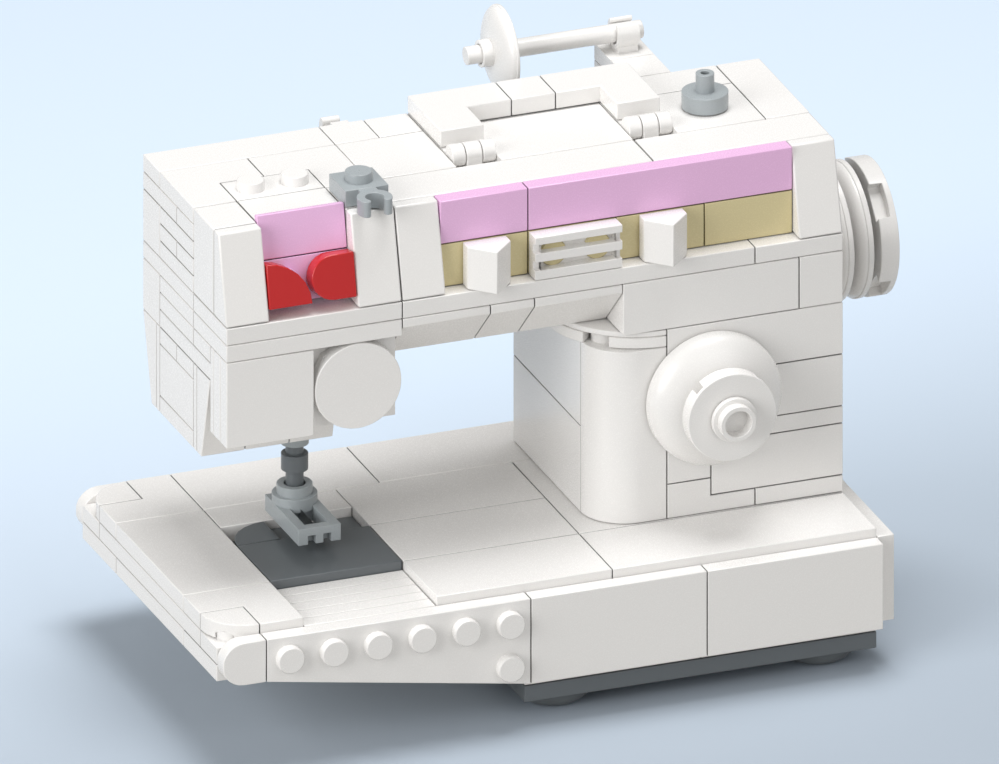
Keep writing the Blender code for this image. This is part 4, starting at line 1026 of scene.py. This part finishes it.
def dress_hinges():
    """Smooth barrels over the handle's hinges."""
    radius = HINGE_R + GROWTH + WELD
    knuckle = HINGE_LUG + SEAM + GAP, PITCH - HINGE_LUG - SEAM - GAP
    lugs, knuckles = [], []
    for column in (7, 11):
        axis = facing("RIGHT", X(column), Y(4.5), Z(28) + HINGE_LIFT)
        for start in (EASE, PITCH - HINGE_LUG - EASE):
            lugs.append(placed(rod(radius, start - GROWTH, start + HINGE_LUG + GROWTH), axis))
        knuckles.append(placed(rod(radius, *knuckle), axis))
    dress("hinge_lug_barrels", softened(together(*lugs), EDGE), "white_plastic", "handle")
    dress("hinge_knuckle_barrels", softened(together(*knuckles), EDGE), "white_plastic", "machine")


def pale_floor():
    """Matt paper, cool where it is seen and neutral where it lights the machine; where it is seen,
    painted shade darkens it towards the front.
    """
    paint = bpy.data.materials.new("pale_floor")
    paint.use_nodes = True
    graph = Graph(paint.node_tree)
    shader = paint.node_tree.nodes["Principled BSDF"].inputs
    camera, glossy, passing = (
        graph.node("ShaderNodeLightPath", output=name)
        for name in ("Is Camera Ray", "Is Glossy Ray", "Is Transmission Ray"))
    rays = camera + glossy + passing
    seen = rays.math("MINIMUM", rays, 1.0)
    place = graph.node("ShaderNodeTexCoord", output="Object")
    depth = graph.node("ShaderNodeSeparateXYZ", values={"Vector": place}, output="Y")
    # Painted shade: the seen floor darkens from FLOOR_FAR towards FLOOR_NEAR at the front.
    painted_shade_fade = graph.node("ShaderNodeMapRange", {"interpolation_type": "SMOOTHSTEP"},
                      {"Value": depth, "From Min": FLOOR_NEAR, "From Max": FLOOR_FAR})
    paper = graph.mixed(painted_shade_fade, NEAR_PAPER_PAINTED_SHADE, FAR_PAPER)
    graph.feed(shader["Base Color"], graph.mixed(seen, BOUNCE_PAPER, paper))
    shader["Roughness"].default_value = PAPER_ROUGHNESS
    shader["Specular IOR Level"].default_value = 0.0
    return paint


def set_stage():
    """A pale floor, an even pale sky and soft lamps."""
    slab = block((-FLOOR_SIZE, -FLOOR_SIZE, -FLOOR_DEPTH), (FLOOR_SIZE, FLOOR_SIZE, 0))
    mesh = mesh_of(slab, "floor")
    mesh.materials.append(pale_floor())
    floor = shown("floor", mesh)

    world = bpy.data.worlds.new("even_sky")
    world.use_nodes = True
    sky = world.node_tree.nodes["Background"].inputs
    sky["Color"].default_value = SKY_COLOUR
    sky["Strength"].default_value = SKY_STRENGTH
    bpy.context.scene.world = world

    for name, place, size, power in LAMPS:
        lamp = bpy.data.lights.new(name, "AREA")
        lamp.shape = "SQUARE"
        lamp.size = size
        lamp.energy = power
        holder = shown(name, lamp)
        holder.location = place
        aim = LAMP_TARGET - Vector(place)
        holder.rotation_euler = aim.to_track_quat("-Z", "Y").to_euler()


set_camera()
set_stage()
dress_nodes()
dress_feet()
dress_hinges()
bpy.context.scene.view_settings.view_transform = "Standard"
